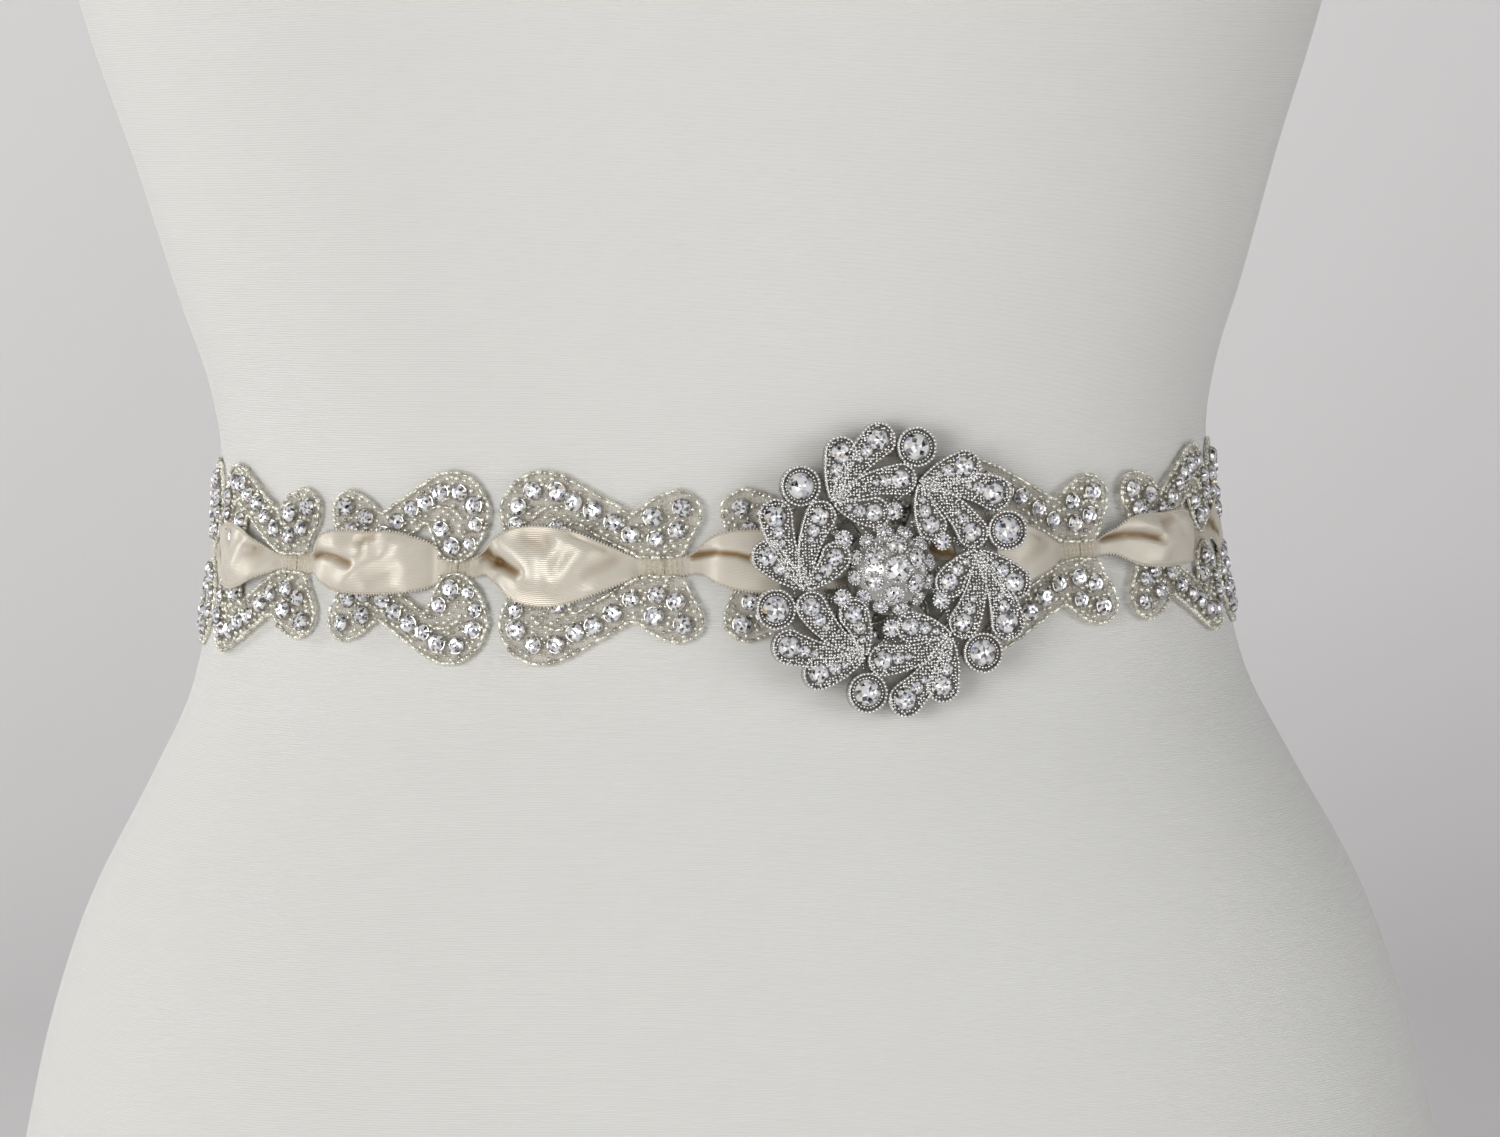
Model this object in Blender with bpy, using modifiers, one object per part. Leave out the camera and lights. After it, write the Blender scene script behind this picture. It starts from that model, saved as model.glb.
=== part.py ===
"""A bridal sash on a limbless dress form.

The sash is a scalloped trim of beaded net around the waist, with a satin ribbon woven behind its
bridges and puffed in its windows, a round brooch right of the middle, and the ribbon knotted at
the back. Sizes are in millimetres and are turned to metres where a mesh is made. +Z is up, the
front faces -Y, and the origin is the middle of the form's flat base.
"""

import math

import bmesh
import bpy
import numpy as np
from mathutils import Matrix

MM = 0.001

# The dress form
WAIST_HEIGHT = 300.0
FORM_SIDES = 40
FORM_SECTIONS = (
    # height above the waist, half width, front depth, back depth, squareness
    (-300, 160, 100, 118, 2.3),
    (-260, 166, 104, 126, 2.3),
    (-215, 171, 106, 133, 2.3),
    (-170, 171, 106, 134, 2.3),
    (-133, 163.7, 104, 128, 2.3),
    (-105, 157, 101, 119, 2.25),
    (-77, 147, 97, 108, 2.2),
    (-49, 132, 92, 97, 2.15),
    (-31, 123, 88.5, 91.5, 2.1),
    (-11, 118, 85.5, 87.5, 2.1),
    (11, 115, 84, 85, 2.1),
    (27, 114, 84, 84.5, 2.1),
    (42, 116.5, 85.5, 85.5, 2.1),
    (60, 122.3, 89, 87, 2.1),
    (90, 131, 97.5, 89, 2.15),
    (127, 142.6, 110, 91, 2.2),
    (160, 149, 124, 92, 2.2),
    (190, 153, 132, 94, 2.2),
    (225, 156, 124, 96, 2.2),
    (260, 161, 110, 97, 2.2),
    (295, 168, 97, 96, 2.2),
    (318, 170, 84, 91, 2.2),
    (334, 158, 72, 83, 2.15),
    (346, 132, 62, 75, 2.1),
    (356, 102, 56, 67, 2.05),
    (366, 76, 52, 60, 2.0),
    (380, 60, 50, 55, 2.0),
    (400, 55, 49, 52, 2.0),
    (425, 54, 48, 50, 2.0),
)
FORM_RINGS = (
    [-300, -266, -232, -200, -168, -136, -104, -76, -54, *range(-38, 46, 7), 48, 62, 84]
    + [110, 138, 162, 180, 198, 218, 244, 272, 298, 316, 330, 342, 352, 362, 374, 392, 425]
)
BUST_RISE = 9.0
BUST_HEIGHT = 190.0
BUST_SPREAD = 46.0
BUST_ANGLE = 0.62
BUST_ANGLE_SPREAD = 0.34

# How the sash lies on the form
SASH_UP = 3.0
HALF_REPEAT = 48.4
FIRST_LINE = -4
LAST_LINE = 4
MIDDLE_LINE_AT = -1.0
# Where the trim is eased or stretched a little: its own length from the front, and its place there
EASING = ((-194.6, -186.0), (-97.8, -92.5), (-49.4, -49.4), (95.8, 96.2), (144.2, 141.5), (192.6, 188.0))
TRIM_BACK = 1.6
TRIM_WALL = 1.8
RIBBON_WALL = 1.0
SEAM_GAP = 0.3
TRIM_FRONT = TRIM_BACK + TRIM_WALL

# Half of one motif of the trim: how far it is from the line between two bulbs, and how high
TRIM_EDGE = (
    (7.4, 0), (6.4, 2.3), (3.8, 5), (1.6, 8.8), (0.8, 12.5), (2.2, 16.2), (4.6, 19.4), (8, 21.3),
    (11.4, 21.8), (15.2, 21.1), (20.8, 18.1), (27.6, 14.3), (31.4, 12.4), (34.6, 14.8),
    (38, 16.5), (41.4, 17.2), (44.3, 16.1), (46.5, 13.4), (46.3, 9.5), (44.2, 6), (42.2, 2),
    (41.6, 0),
)  # fmt: skip
WINDOW_EDGE = (
    (13.2, 0), (15.2, 2.6), (16.8, 5.6), (17.6, 10.4), (20.8, 9.3), (26.2, 5.8), (32, 2.5),
    (34.2, 0),
)  # fmt: skip
TRIM_CUTS_ALONG = (10, 20, 30)
TRIM_CUTS_UP = (-10, 10)

# The ribbon from one window to the next, measured from the line that it comes up at
RIBBON_FROM_BULBS = (
    # along, top, bottom, edge off the form, middle off the form
    (-9.85, 2.0, -2.0, 0.8, 0.8),
    (-6.6, 2.1, -2.0, 0.8, 0.8),
    (-4.6, 2.8, -1.8, 1.3, 1.4),
    (-2.0, 4.4, -1.2, 2.7, 2.9),
    (1.0, 6.6, -3.0, 4.1, 4.4),
    (4.5, 8.5, -6.6, 4.4, 5.3),
    (9.0, 9.3, -8.2, 4.4, 6.0),
    (14.0, 9.0, -8.4, 4.4, 6.4),
    (19.0, 7.9, -7.2, 4.4, 6.2),
    (23.0, 6.2, -5.7, 4.3, 5.4),
    (26.2, 4.7, -4.4, 3.4, 4.0),
    (29.5, 3.0, -3.0, 2.0, 2.2),
    (32.4, 1.8, -1.8, 0.9, 0.9),
    (34.6, 1.9, -1.9, 0.8, 0.8),
    (37.85, 2.0, -2.0, 0.8, 0.8),
)
RIBBON_FROM_LOBES = (
    # along, top, bottom, edge off the form, middle off the form
    (-10.25, 2.0, -2.0, 0.8, 0.8),
    (-6.8, 2.0, -2.0, 0.8, 0.8),
    (-4.8, 2.2, -1.6, 1.3, 1.3),
    (-2.4, 2.9, -1.0, 2.5, 2.6),
    (0.6, 4.3, -2.0, 4.1, 4.2),
    (4.0, 6.0, -4.2, 4.4, 4.8),
    (8.0, 7.2, -5.8, 4.4, 5.7),
    (14.0, 7.3, -6.8, 4.4, 6.2),
    (19.0, 7.2, -6.8, 4.4, 6.3),
    (23.5, 6.9, -6.4, 4.4, 6.0),
    (26.5, 6.4, -5.6, 4.2, 5.2),
    (29.0, 5.8, -4.9, 3.0, 3.4),
    (31.2, 5.0, -4.0, 0.9, 1.0),
    (34.5, 3.4, -2.8, 0.8, 0.8),
    (38.25, 2.0, -2.0, 0.8, 0.8),
)
PUFF_COLUMNS = 6
CREASES = (
    # along, lean for each unit across, half width, depth
    (12.0, 5.0, 2.2, 0.9),
    (20.5, -4.0, 2.0, 0.8),
)

# The ribbon around the back, its knot and its two ends
BACK_RIBBON = (
    # share of the way to the knot, half height, off the form
    (0.0, 3.0, 0.8),
    (0.05, 3.0, 0.8),
    (0.08, 3.3, 1.3),
    (0.12, 4.4, 2.0),
    (0.17, 6.4, 2.2),
    (0.24, 8.8, 2.0),
    (0.34, 10.6, 1.8),
    (0.46, 11.2, 1.7),
    (0.58, 11.2, 1.7),
    (0.7, 10.8, 1.8),
    (0.8, 10.0, 1.9),
    (0.88, 8.6, 2.1),
    (0.95, 6.8, 2.5),
    (1.0, 5.8, 2.8),
)
BACK_WAVE = 0.55
BACK_COLUMNS = 5
KNOT_SIZE = (17.0, 11.0, 21.0)
KNOT_OFF_FORM = 6.6
TAILS = (
    # name, height where it starts, middle there, middle at its end, half width, height of its end
    ("ribbon_tail_left", -11.6, -5.2, -26.0, 10.6, -248),
    ("ribbon_tail_right", -11.6, 5.2, 22.0, 10.6, -226),
)
TAIL_ROWS = 19
TAIL_COLUMNS = 5
TAIL_GATHERED = 4.4
TAIL_SLANT = 9.0

# The brooch, in its own plane
BROOCH_AT = 36.9
BROOCH_UP = -1.9
BROOCH_OFF_FORM = 4.8
BROOCH_LEAN_BACK = 0.6
BROOCH_PLATE = 1.4
BROOCH_REPEATS = 6
PLATE_RADIUS = 24.6
PLATE_HOLE = (9.9, 15.4)
PLATE_HOLE_AT = 137.0
PLATE_HOLE_SPREAD = 10.0
SPRAY_ROOT = (19.5, 128.0)
LEAF_HEADS = (
    # radius, angle, head radius
    (27.3, 112.0, 3.4),
    (27.9, 94.0, 3.4),
    (19.0, 82.5, 3.1),
    (12.9, 107.0, 3.1),
)
LEAF_ROOT_RADIUS = 1.3
LEAF_THICK = 2.2
COLLET_AT = (26.6, 76.4)
COLLET_RADIUS = 4.4
COLLET_HEIGHT = 3.4
FLOWER_PROFILE = ((0.01, 6.6), (2.6, 6.4), (4.4, 5.0), (6.9, 3.6), (8.9, 2.0), (9.1, 0), (0.01, 0))
FLOWER_SIDES = 18
CENTRE_STONE_RADIUS = 2.2
CENTRE_STONE_HEIGHT = 1.6

# colour, roughness, metallic
FINISHES = {
    "jersey": ((0.70, 0.69, 0.68), 0.95, 0.0),
    "satin": ((0.76, 0.67, 0.53), 0.42, 0.0),
    "beaded net": ((0.72, 0.68, 0.58), 0.35, 0.0),
    "silver plate": ((0.60, 0.60, 0.61), 0.25, 1.0),
    "crystal": ((0.85, 0.88, 0.92), 0.05, 0.0),
}


def clear_scene():
    for thing in list(bpy.data.objects):
        bpy.data.objects.remove(thing, do_unlink=True)


def new_collection(name):
    made = bpy.data.collections.new(name)
    bpy.context.scene.collection.children.link(made)
    return made


def finish(name, piece):
    """A material of this piece's own, in one of the named finishes."""
    colour, roughness, metallic = FINISHES[name]
    made = bpy.data.materials.new(f"{name} of {piece}")
    made.use_nodes = True
    shader = made.node_tree.nodes["Principled BSDF"]
    shader.inputs["Base Color"].default_value = (*colour, 1)
    shader.inputs["Roughness"].default_value = roughness
    shader.inputs["Metallic"].default_value = metallic
    made.diffuse_color = (*colour, 1)
    return made


def add_object(name, data, look, collection):
    made = bpy.data.objects.new(name, data)
    collection.objects.link(made)
    made.data.materials.append(finish(look, name))
    return made


def mesh_of(name, points, faces):
    """A mesh from points in millimetres."""
    mesh = bpy.data.meshes.new(name)
    mesh.from_pydata((np.asarray(points) * MM).tolist(), [], faces)
    mesh.shade_smooth()
    return mesh


def read_table(table, at):
    """Each column of a table read at values of its first one, on a smooth curve through its rows."""
    rows = np.array(table, float)
    knots = rows[:, 0]
    values = rows[:, 1:]
    slopes = np.gradient(values, knots, axis=0)
    at = np.clip(np.asarray(at, float), knots[0], knots[-1])
    row = np.clip(np.searchsorted(knots, at, side="right") - 1, 0, len(knots) - 2)
    step = (knots[row + 1] - knots[row])[..., None]
    part = (at - knots[row])[..., None] / step
    rest = 1 - part
    return (
        (1 + 2 * part) * rest**2 * values[row]
        + part * rest**2 * step * slopes[row]
        + part**2 * (3 - 2 * part) * values[row + 1]
        - part**2 * rest * step * slopes[row + 1]
    )


def form_radius(angle, height):
    """How far the form's surface is from its axis. The angle is 0 in front and grows towards +X."""
    width, front, back, power = np.moveaxis(read_table(FORM_SECTIONS, height), -1, 0)
    depth = np.where(np.cos(angle) > 0, front, back)
    across = np.abs(np.sin(angle) / width) ** power
    along = np.abs(np.cos(angle) / depth) ** power
    bust = np.exp(-(((height - BUST_HEIGHT) / BUST_SPREAD) ** 2))
    sides = np.exp(-(((np.abs(angle) - BUST_ANGLE) / BUST_ANGLE_SPREAD) ** 2))
    return (across + along) ** (-1 / power) + BUST_RISE * bust * sides


def skin(angle, height):
    radius = form_radius(angle, height)
    return np.stack(
        [radius * np.sin(angle), -radius * np.cos(angle), height + WAIST_HEIGHT], axis=-1
    )


def off_form(angle, height, out):
    """Points this far out from the form's surface, along its normal, and those normals."""
    angle, height, out = np.broadcast_arrays(
        *(np.asarray(value, float) for value in (angle, height, out))
    )
    around = skin(angle + 1e-4, height) - skin(angle - 1e-4, height)
    up = skin(angle, height + 0.01) - skin(angle, height - 0.01)
    normal = np.cross(around, up)
    normal /= np.linalg.norm(normal, axis=-1, keepdims=True)
    return skin(angle, height) + normal * out[..., None], normal


GUIDE_ANGLES = np.linspace(0, math.pi, 721)
GUIDE = off_form(GUIDE_ANGLES, 0, (TRIM_BACK + TRIM_FRONT) / 2)[0][:, :2]
GUIDE_LENGTHS = np.append(0, np.cumsum(np.linalg.norm(np.diff(GUIDE, axis=0), axis=1)))
HALF_GIRTH = GUIDE_LENGTHS[-1]


def sash_place(along, up, out):
    """A place on the sash: its way around from the front, its height on the band and off the form."""
    own, eased = zip((-HALF_GIRTH, -HALF_GIRTH), *EASING, (HALF_GIRTH, HALF_GIRTH))
    along = np.interp(along, own, eased)
    angle = np.sign(along) * np.interp(np.abs(along), GUIDE_LENGTHS, GUIDE_ANGLES)
    return off_form(angle, SASH_UP + up, out)


def line_at(line):
    """The way around of a line where two motifs meet. Even lines are between lobes."""
    return MIDDLE_LINE_AT + line * HALF_REPEAT


def loft(rings):
    """Faces between rings of as many points each, with both ends closed."""
    sides = len(rings[0])
    faces = []
    for row in range(len(rings) - 1):
        for side in range(sides):
            after = (side + 1) % sides
            low = row * sides
            faces.append((low + side, low + after, low + sides + after, low + sides + side))
    faces.append(tuple(reversed(range(sides))))
    faces.append(tuple(range((len(rings) - 1) * sides, len(rings) * sides)))
    return np.concatenate(rings), faces


def dress_form(collection):
    angles = np.linspace(0, 2 * math.pi, FORM_SIDES, endpoint=False)
    angles = np.where(angles > math.pi, angles - 2 * math.pi, angles)
    rings = [skin(angles, np.full(FORM_SIDES, float(height))) for height in FORM_RINGS]
    add_object("dress_form", mesh_of("dress_form", *loft(rings)), "jersey", collection)


def face_outwards(shape):
    """Turns the faces of a closed bmesh to point out."""
    bmesh.ops.recalc_face_normals(shape, faces=shape.faces)
    if shape.calc_volume(signed=True) < 0:
        bmesh.ops.reverse_faces(shape, faces=shape.faces)


def flat_shape(name, loops, thick):
    """A mesh in the XY plane between closed loops, in millimetres. Inner loops are holes."""
    curve = bpy.data.curves.new(name, "CURVE")
    curve.dimensions = "2D"
    curve.fill_mode = "BOTH"
    curve.extrude = thick / 2 * MM
    for loop in loops:
        spline = curve.splines.new("POLY")
        spline.points.add(len(loop) - 1)
        for point, (x, y) in zip(spline.points, loop):
            point.co = (x * MM, y * MM, 0, 1)
        spline.use_cyclic_u = True
    outline = bpy.data.objects.new(name, curve)
    bpy.context.scene.collection.objects.link(outline)
    graph = bpy.context.evaluated_depsgraph_get()
    mesh = bpy.data.meshes.new_from_object(outline.evaluated_get(graph))
    bpy.data.objects.remove(outline)
    shape = bmesh.new()
    shape.from_mesh(mesh)
    bmesh.ops.remove_doubles(shape, verts=shape.verts, dist=1e-6)
    face_outwards(shape)
    shape.to_mesh(mesh)
    shape.free()
    return mesh


def both_halves(edge):
    """A closed loop from the points of its upper half, whose ends lie on the middle line."""
    return list(edge) + [(x, -y) for x, y in reversed(edge[1:-1])]


def trim_motif(name, line, collection):
    """One motif of the trim, bent from flat onto the form. On even lines its lobe comes first."""
    mesh = flat_shape(name, [both_halves(TRIM_EDGE), both_halves(WINDOW_EDGE)], TRIM_WALL)
    shape = bmesh.new()
    shape.from_mesh(mesh)
    cuts = [((at * MM, 0, 0), (1, 0, 0)) for at in TRIM_CUTS_ALONG]
    cuts += [((0, at * MM, 0), (0, 1, 0)) for at in TRIM_CUTS_UP]
    for point, normal in cuts:
        everything = shape.verts[:] + shape.edges[:] + shape.faces[:]
        bmesh.ops.bisect_plane(shape, geom=everything, plane_co=point, plane_no=normal)
    bmesh.ops.triangulate(shape, faces=shape.faces)
    flat = np.array([vertex.co for vertex in shape.verts]) / MM
    if line % 2:
        along = line_at(line) + flat[:, 0]
    else:
        along = line_at(line + 1) - flat[:, 0]
    middle = (TRIM_BACK + TRIM_FRONT) / 2
    placed = sash_place(along, flat[:, 1], middle + flat[:, 2])[0]
    for vertex, place in zip(shape.verts, placed):
        vertex.co = place * MM
    face_outwards(shape)
    shape.to_mesh(mesh)
    shape.free()
    add_object(name, mesh, "beaded net", collection)


def cloth(name, points, collection):
    """A ribbon's wall from a grid of points on its middle."""
    rows, columns = points.shape[:2]
    faces = []
    for row in range(rows - 1):
        for column in range(columns - 1):
            first = row * columns + column
            faces.append((first, first + 1, first + columns + 1, first + columns))
    mesh = mesh_of(name, points.reshape(-1, 3), faces)
    made = add_object(name, mesh, "satin", collection)
    wall = made.modifiers.new("Wall", "SOLIDIFY")
    wall.thickness = RIBBON_WALL * MM
    wall.offset = 0
    return made


def under_brooch(along):
    """1 where the brooch presses the ribbon flat, and 0 away from it."""
    return np.clip((44 - np.abs(along - BROOCH_AT)) / 8, 0, 1)


def ribbon_puff(name, line, collection):
    """The ribbon from behind one bridge, up at the line, through the window and behind the next."""
    table = RIBBON_FROM_BULBS if line % 2 else RIBBON_FROM_LOBES
    stations = np.array([row[0] for row in table])
    across = np.linspace(-1, 1, PUFF_COLUMNS + 1)
    top, bottom, edge, middle = (column[:, None] for column in read_table(table, stations).T)
    along = line_at(line) + stations[:, None]
    up = (top + bottom) / 2 + (top - bottom) / 2 * across
    bulge = (middle - edge) * (1 - across**2)
    for place, lean, half, depth in CREASES:
        distance = (stations[:, None] - place - lean * across) / half
        bulge = bulge - depth * np.exp(-(distance**2)) * (1 - across**2) * (middle > 5)
    bulge = bulge * (1 - 0.85 * under_brooch(along))
    cloth(name, sash_place(along + 0 * across, up, edge + bulge)[0], collection)


def back_ribbon(name, side, collection):
    """The ribbon from behind the trim's last lobe to the knot, on one side."""
    last = line_at(LAST_LINE) - 10.25 if side > 0 else line_at(FIRST_LINE) - 10.55
    end = side * (HALF_GIRTH - KNOT_SIZE[0] / 2 - SEAM_GAP)
    share, half, out = (column[:, None] for column in np.array(BACK_RIBBON).T)
    across = np.linspace(-1, 1, BACK_COLUMNS + 1)
    along = last + (end - last) * share
    waves = BACK_WAVE * np.sin(2.5 * math.pi * across + 4 * share) * (half > 6)
    cloth(name, sash_place(along + 0 * across, half * across, out + waves)[0], collection)


def back_angle(x, height):
    """The angle, from the front, of the place at this x on the form's back."""
    turned = np.zeros_like(x)
    for _ in range(6):
        turned = np.arcsin(np.clip(x / form_radius(math.pi - turned, height), -1, 1))
    return math.pi - turned


def knot(collection):
    centre = off_form(math.pi, SASH_UP, KNOT_OFF_FORM)[0]
    bpy.ops.mesh.primitive_cube_add(size=MM, location=centre * MM)
    made = bpy.context.object
    made.name = "ribbon_knot"
    made.data.name = "ribbon_knot"
    made.data.transform(Matrix.Diagonal((*KNOT_SIZE, 1)))
    made.data.shade_smooth()
    made.data.materials.append(finish("satin", "ribbon_knot"))
    for owner in list(made.users_collection):
        owner.objects.unlink(made)
    collection.objects.link(made)
    rounded = made.modifiers.new("Rounded", "BEVEL")
    rounded.width = 3.6 * MM
    rounded.segments = 3


def ribbon_tail(name, top, start, end, half_width, bottom, collection):
    """A loose end of the ribbon, gathered at the knot and lying down the form's back."""
    share = np.linspace(0, 1, TAIL_ROWS)[:, None]
    across = np.linspace(-1, 1, TAIL_COLUMNS + 1)
    opened = np.clip(share / 0.3, 0, 1)
    opened = opened**2 * (3 - 2 * opened)
    half = TAIL_GATHERED + (half_width - TAIL_GATHERED) * opened
    centre = start + (end - start) * share + math.copysign(6.2, start) * opened
    height = top + (bottom - top) * share + TAIL_SLANT * across * share**8
    x = centre + half * across
    out = 1.9 + 1.1 * np.sin(7 * share + 2.2 * across) * opened
    out = np.maximum(out, 1.0)
    height = height + SASH_UP
    cloth(name, off_form(back_angle(x, height), height, out)[0], collection)


def brooch_frame():
    """Where the brooch's plane is: its centre, and its right, up and outward directions."""
    centre, normal = sash_place(*(np.array(at) for at in (BROOCH_AT, BROOCH_UP, BROOCH_OFF_FORM)))
    normal = normal + np.array((0, 0, math.tan(math.radians(BROOCH_LEAN_BACK))))
    normal /= np.linalg.norm(normal)
    right = np.cross((0, 0, 1), normal)
    right /= np.linalg.norm(right)
    frame = Matrix.Identity(4)
    for column, direction in enumerate((right, np.cross(normal, right), normal)):
        for row in range(3):
            frame[row][column] = direction[row]
    frame.translation = centre * MM
    return frame


def polar(radius, degrees):
    return radius * math.cos(math.radians(degrees)), radius * math.sin(math.radians(degrees))


def arc(radius, first, last, steps, centre=(0, 0)):
    """Points of an arc of a circle, in degrees."""
    turns = [first + (last - first) * step / steps for step in range(steps + 1)]
    return [(centre[0] + x, centre[1] + y) for x, y in (polar(radius, turn) for turn in turns)]


def teardrop(root, head, root_radius, head_radius):
    """The outline of a leaf: two round ends and the straight sides that touch both."""
    x, y = head[0] - root[0], head[1] - root[1]
    facing = math.degrees(math.atan2(y, x))
    lean = math.degrees(math.acos((root_radius - head_radius) / math.hypot(x, y)))
    outline = arc(head_radius, facing - lean, facing + lean, 6, head)
    return outline + arc(root_radius, facing + lean, facing + 360 - lean, 2, root)


def place_in_brooch(made, parent, turn, lift):
    made.parent = parent
    made.rotation_euler = (0, 0, math.radians(turn))
    made.location = (0, 0, lift * MM)


def joined_leaves(cutters):
    """One spray of leaves as a single closed mesh."""
    root = polar(*SPRAY_ROOT)
    leaves = []
    for number, (radius, angle, size) in enumerate(LEAF_HEADS):
        outline = teardrop(root, polar(radius, angle), LEAF_ROOT_RADIUS, size)
        mesh = flat_shape(f"leaf_{number}", [outline], LEAF_THICK - 0.1 * number)
        leaf = bpy.data.objects.new(f"leaf_{number}", mesh)
        cutters.objects.link(leaf)
        leaf.hide_render = True
        leaf.display_type = "WIRE"
        leaves.append(leaf)
    for leaf in leaves[1:]:
        union = leaves[0].modifiers.new("Joined", "BOOLEAN")
        union.operation = "UNION"
        union.object = leaf
    graph = bpy.context.evaluated_depsgraph_get()
    joined = bpy.data.meshes.new_from_object(leaves[0].evaluated_get(graph))
    leaves[0].modifiers.clear()
    return joined


def brooch(collection, cutters):
    frame = bpy.data.objects.new("brooch_frame", None)
    collection.objects.link(frame)
    frame.matrix_world = brooch_frame()
    step = 360 / BROOCH_REPEATS
    holes = []
    for repeat in range(BROOCH_REPEATS):
        middle = PLATE_HOLE_AT + step * repeat
        first, last = middle - PLATE_HOLE_SPREAD, middle + PLATE_HOLE_SPREAD
        inner = arc(PLATE_HOLE[0], last, first, 2)
        holes.append(arc(PLATE_HOLE[1], first, last, 2) + inner)
    outline = arc(PLATE_RADIUS, 0, 350, 35)
    plate = flat_shape("brooch_plate", [outline] + holes, BROOCH_PLATE)
    made = add_object("brooch_plate", plate, "silver plate", collection)
    place_in_brooch(made, frame, 0, BROOCH_PLATE / 2)

    front = BROOCH_PLATE + SEAM_GAP
    spray = joined_leaves(cutters)
    for repeat in range(BROOCH_REPEATS):
        made = add_object(f"brooch_spray_{repeat + 1}", spray.copy(), "silver plate", collection)
        place_in_brooch(made, frame, step * repeat, front + LEAF_THICK / 2)
        bpy.ops.mesh.primitive_cone_add(
            vertices=12,
            radius1=COLLET_RADIUS * MM,
            radius2=(COLLET_RADIUS - 1.1) * MM,
            depth=COLLET_HEIGHT * MM,
        )
        stone = bpy.context.object
        stone.name = f"brooch_stone_{repeat + 1}"
        stone.data.transform(Matrix.Translation((*(MM * at for at in polar(*COLLET_AT)), 0)))
        stone.data.materials.append(finish("crystal", stone.name))
        for owner in list(stone.users_collection):
            owner.objects.unlink(stone)
        collection.objects.link(stone)
        place_in_brooch(stone, frame, step * repeat, front + COLLET_HEIGHT / 2)

    profile = bpy.data.meshes.new("brooch_flower")
    points = [(x * MM, 0, z * MM) for x, z in FLOWER_PROFILE]
    edges = [(at, at + 1) for at in range(len(points) - 1)]
    profile.from_pydata(points, edges, [])
    flower = add_object("brooch_flower", profile, "silver plate", collection)
    place_in_brooch(flower, frame, 0, front)
    turned = flower.modifiers.new("Turned", "SCREW")
    turned.steps = FLOWER_SIDES
    turned.render_steps = FLOWER_SIDES
    turned.use_merge_vertices = True
    turned.merge_threshold = 0.00003
    bpy.ops.mesh.primitive_cone_add(
        vertices=12,
        radius1=CENTRE_STONE_RADIUS * MM,
        radius2=CENTRE_STONE_RADIUS * 0.6 * MM,
        depth=CENTRE_STONE_HEIGHT * MM,
    )
    stone = bpy.context.object
    stone.name = "brooch_centre_stone"
    stone.data.materials.append(finish("crystal", stone.name))
    for owner in list(stone.users_collection):
        owner.objects.unlink(stone)
    collection.objects.link(stone)
    top = FLOWER_PROFILE[0][1] + SEAM_GAP
    place_in_brooch(stone, frame, 0, front + top + CENTRE_STONE_HEIGHT / 2)


def main():
    clear_scene()
    sash = new_collection("Bridal sash on a dress form")
    cutters = new_collection("Cutters")
    cutters.hide_render = True
    dress_form(sash)
    for number, line in enumerate(range(FIRST_LINE, LAST_LINE), start=1):
        trim_motif(f"trim_motif_{number}", line, sash)
        ribbon_puff(f"ribbon_window_{number}", line, sash)
    back_ribbon("ribbon_back_left", -1, sash)
    back_ribbon("ribbon_back_right", 1, sash)
    knot(sash)
    for tail in TAILS:
        ribbon_tail(*tail, sash)
    brooch(sash, cutters)


main()
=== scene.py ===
"""The finish of a bridal sash on a dress form: beads, stones, satin, a brooch and knit jersey.

Sizes in tables and in functions are millimetres and become metres where a mesh is made.
"""

import math

import bmesh
import bpy
import numpy as np
from bpy.props import FloatProperty, FloatVectorProperty, IntProperty, PointerProperty
from mathutils import Matrix, Vector


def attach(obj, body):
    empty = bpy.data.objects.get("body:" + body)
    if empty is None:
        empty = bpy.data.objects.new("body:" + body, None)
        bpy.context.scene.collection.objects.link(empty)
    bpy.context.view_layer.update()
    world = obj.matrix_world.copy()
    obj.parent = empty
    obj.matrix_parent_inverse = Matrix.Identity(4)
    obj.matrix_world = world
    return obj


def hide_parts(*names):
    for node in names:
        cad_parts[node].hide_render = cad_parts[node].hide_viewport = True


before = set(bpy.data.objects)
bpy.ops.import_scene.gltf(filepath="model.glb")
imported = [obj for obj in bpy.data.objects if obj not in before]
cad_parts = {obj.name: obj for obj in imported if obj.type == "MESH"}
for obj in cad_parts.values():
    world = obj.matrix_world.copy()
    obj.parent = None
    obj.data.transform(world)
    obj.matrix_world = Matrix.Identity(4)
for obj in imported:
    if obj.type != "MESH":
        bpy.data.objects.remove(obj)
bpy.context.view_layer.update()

bl_info = {
    "name": "Bridal sash",
    "version": (1, 0, 0),
    "blender": (4, 5, 0),
    "location": "View3D > Sidebar > Sash",
    "description": "Makes a beaded bridal sash with its ribbon, brooch and dress form",
    "category": "Add Mesh",
}

MM = 0.001
BODY = "root"

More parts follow.
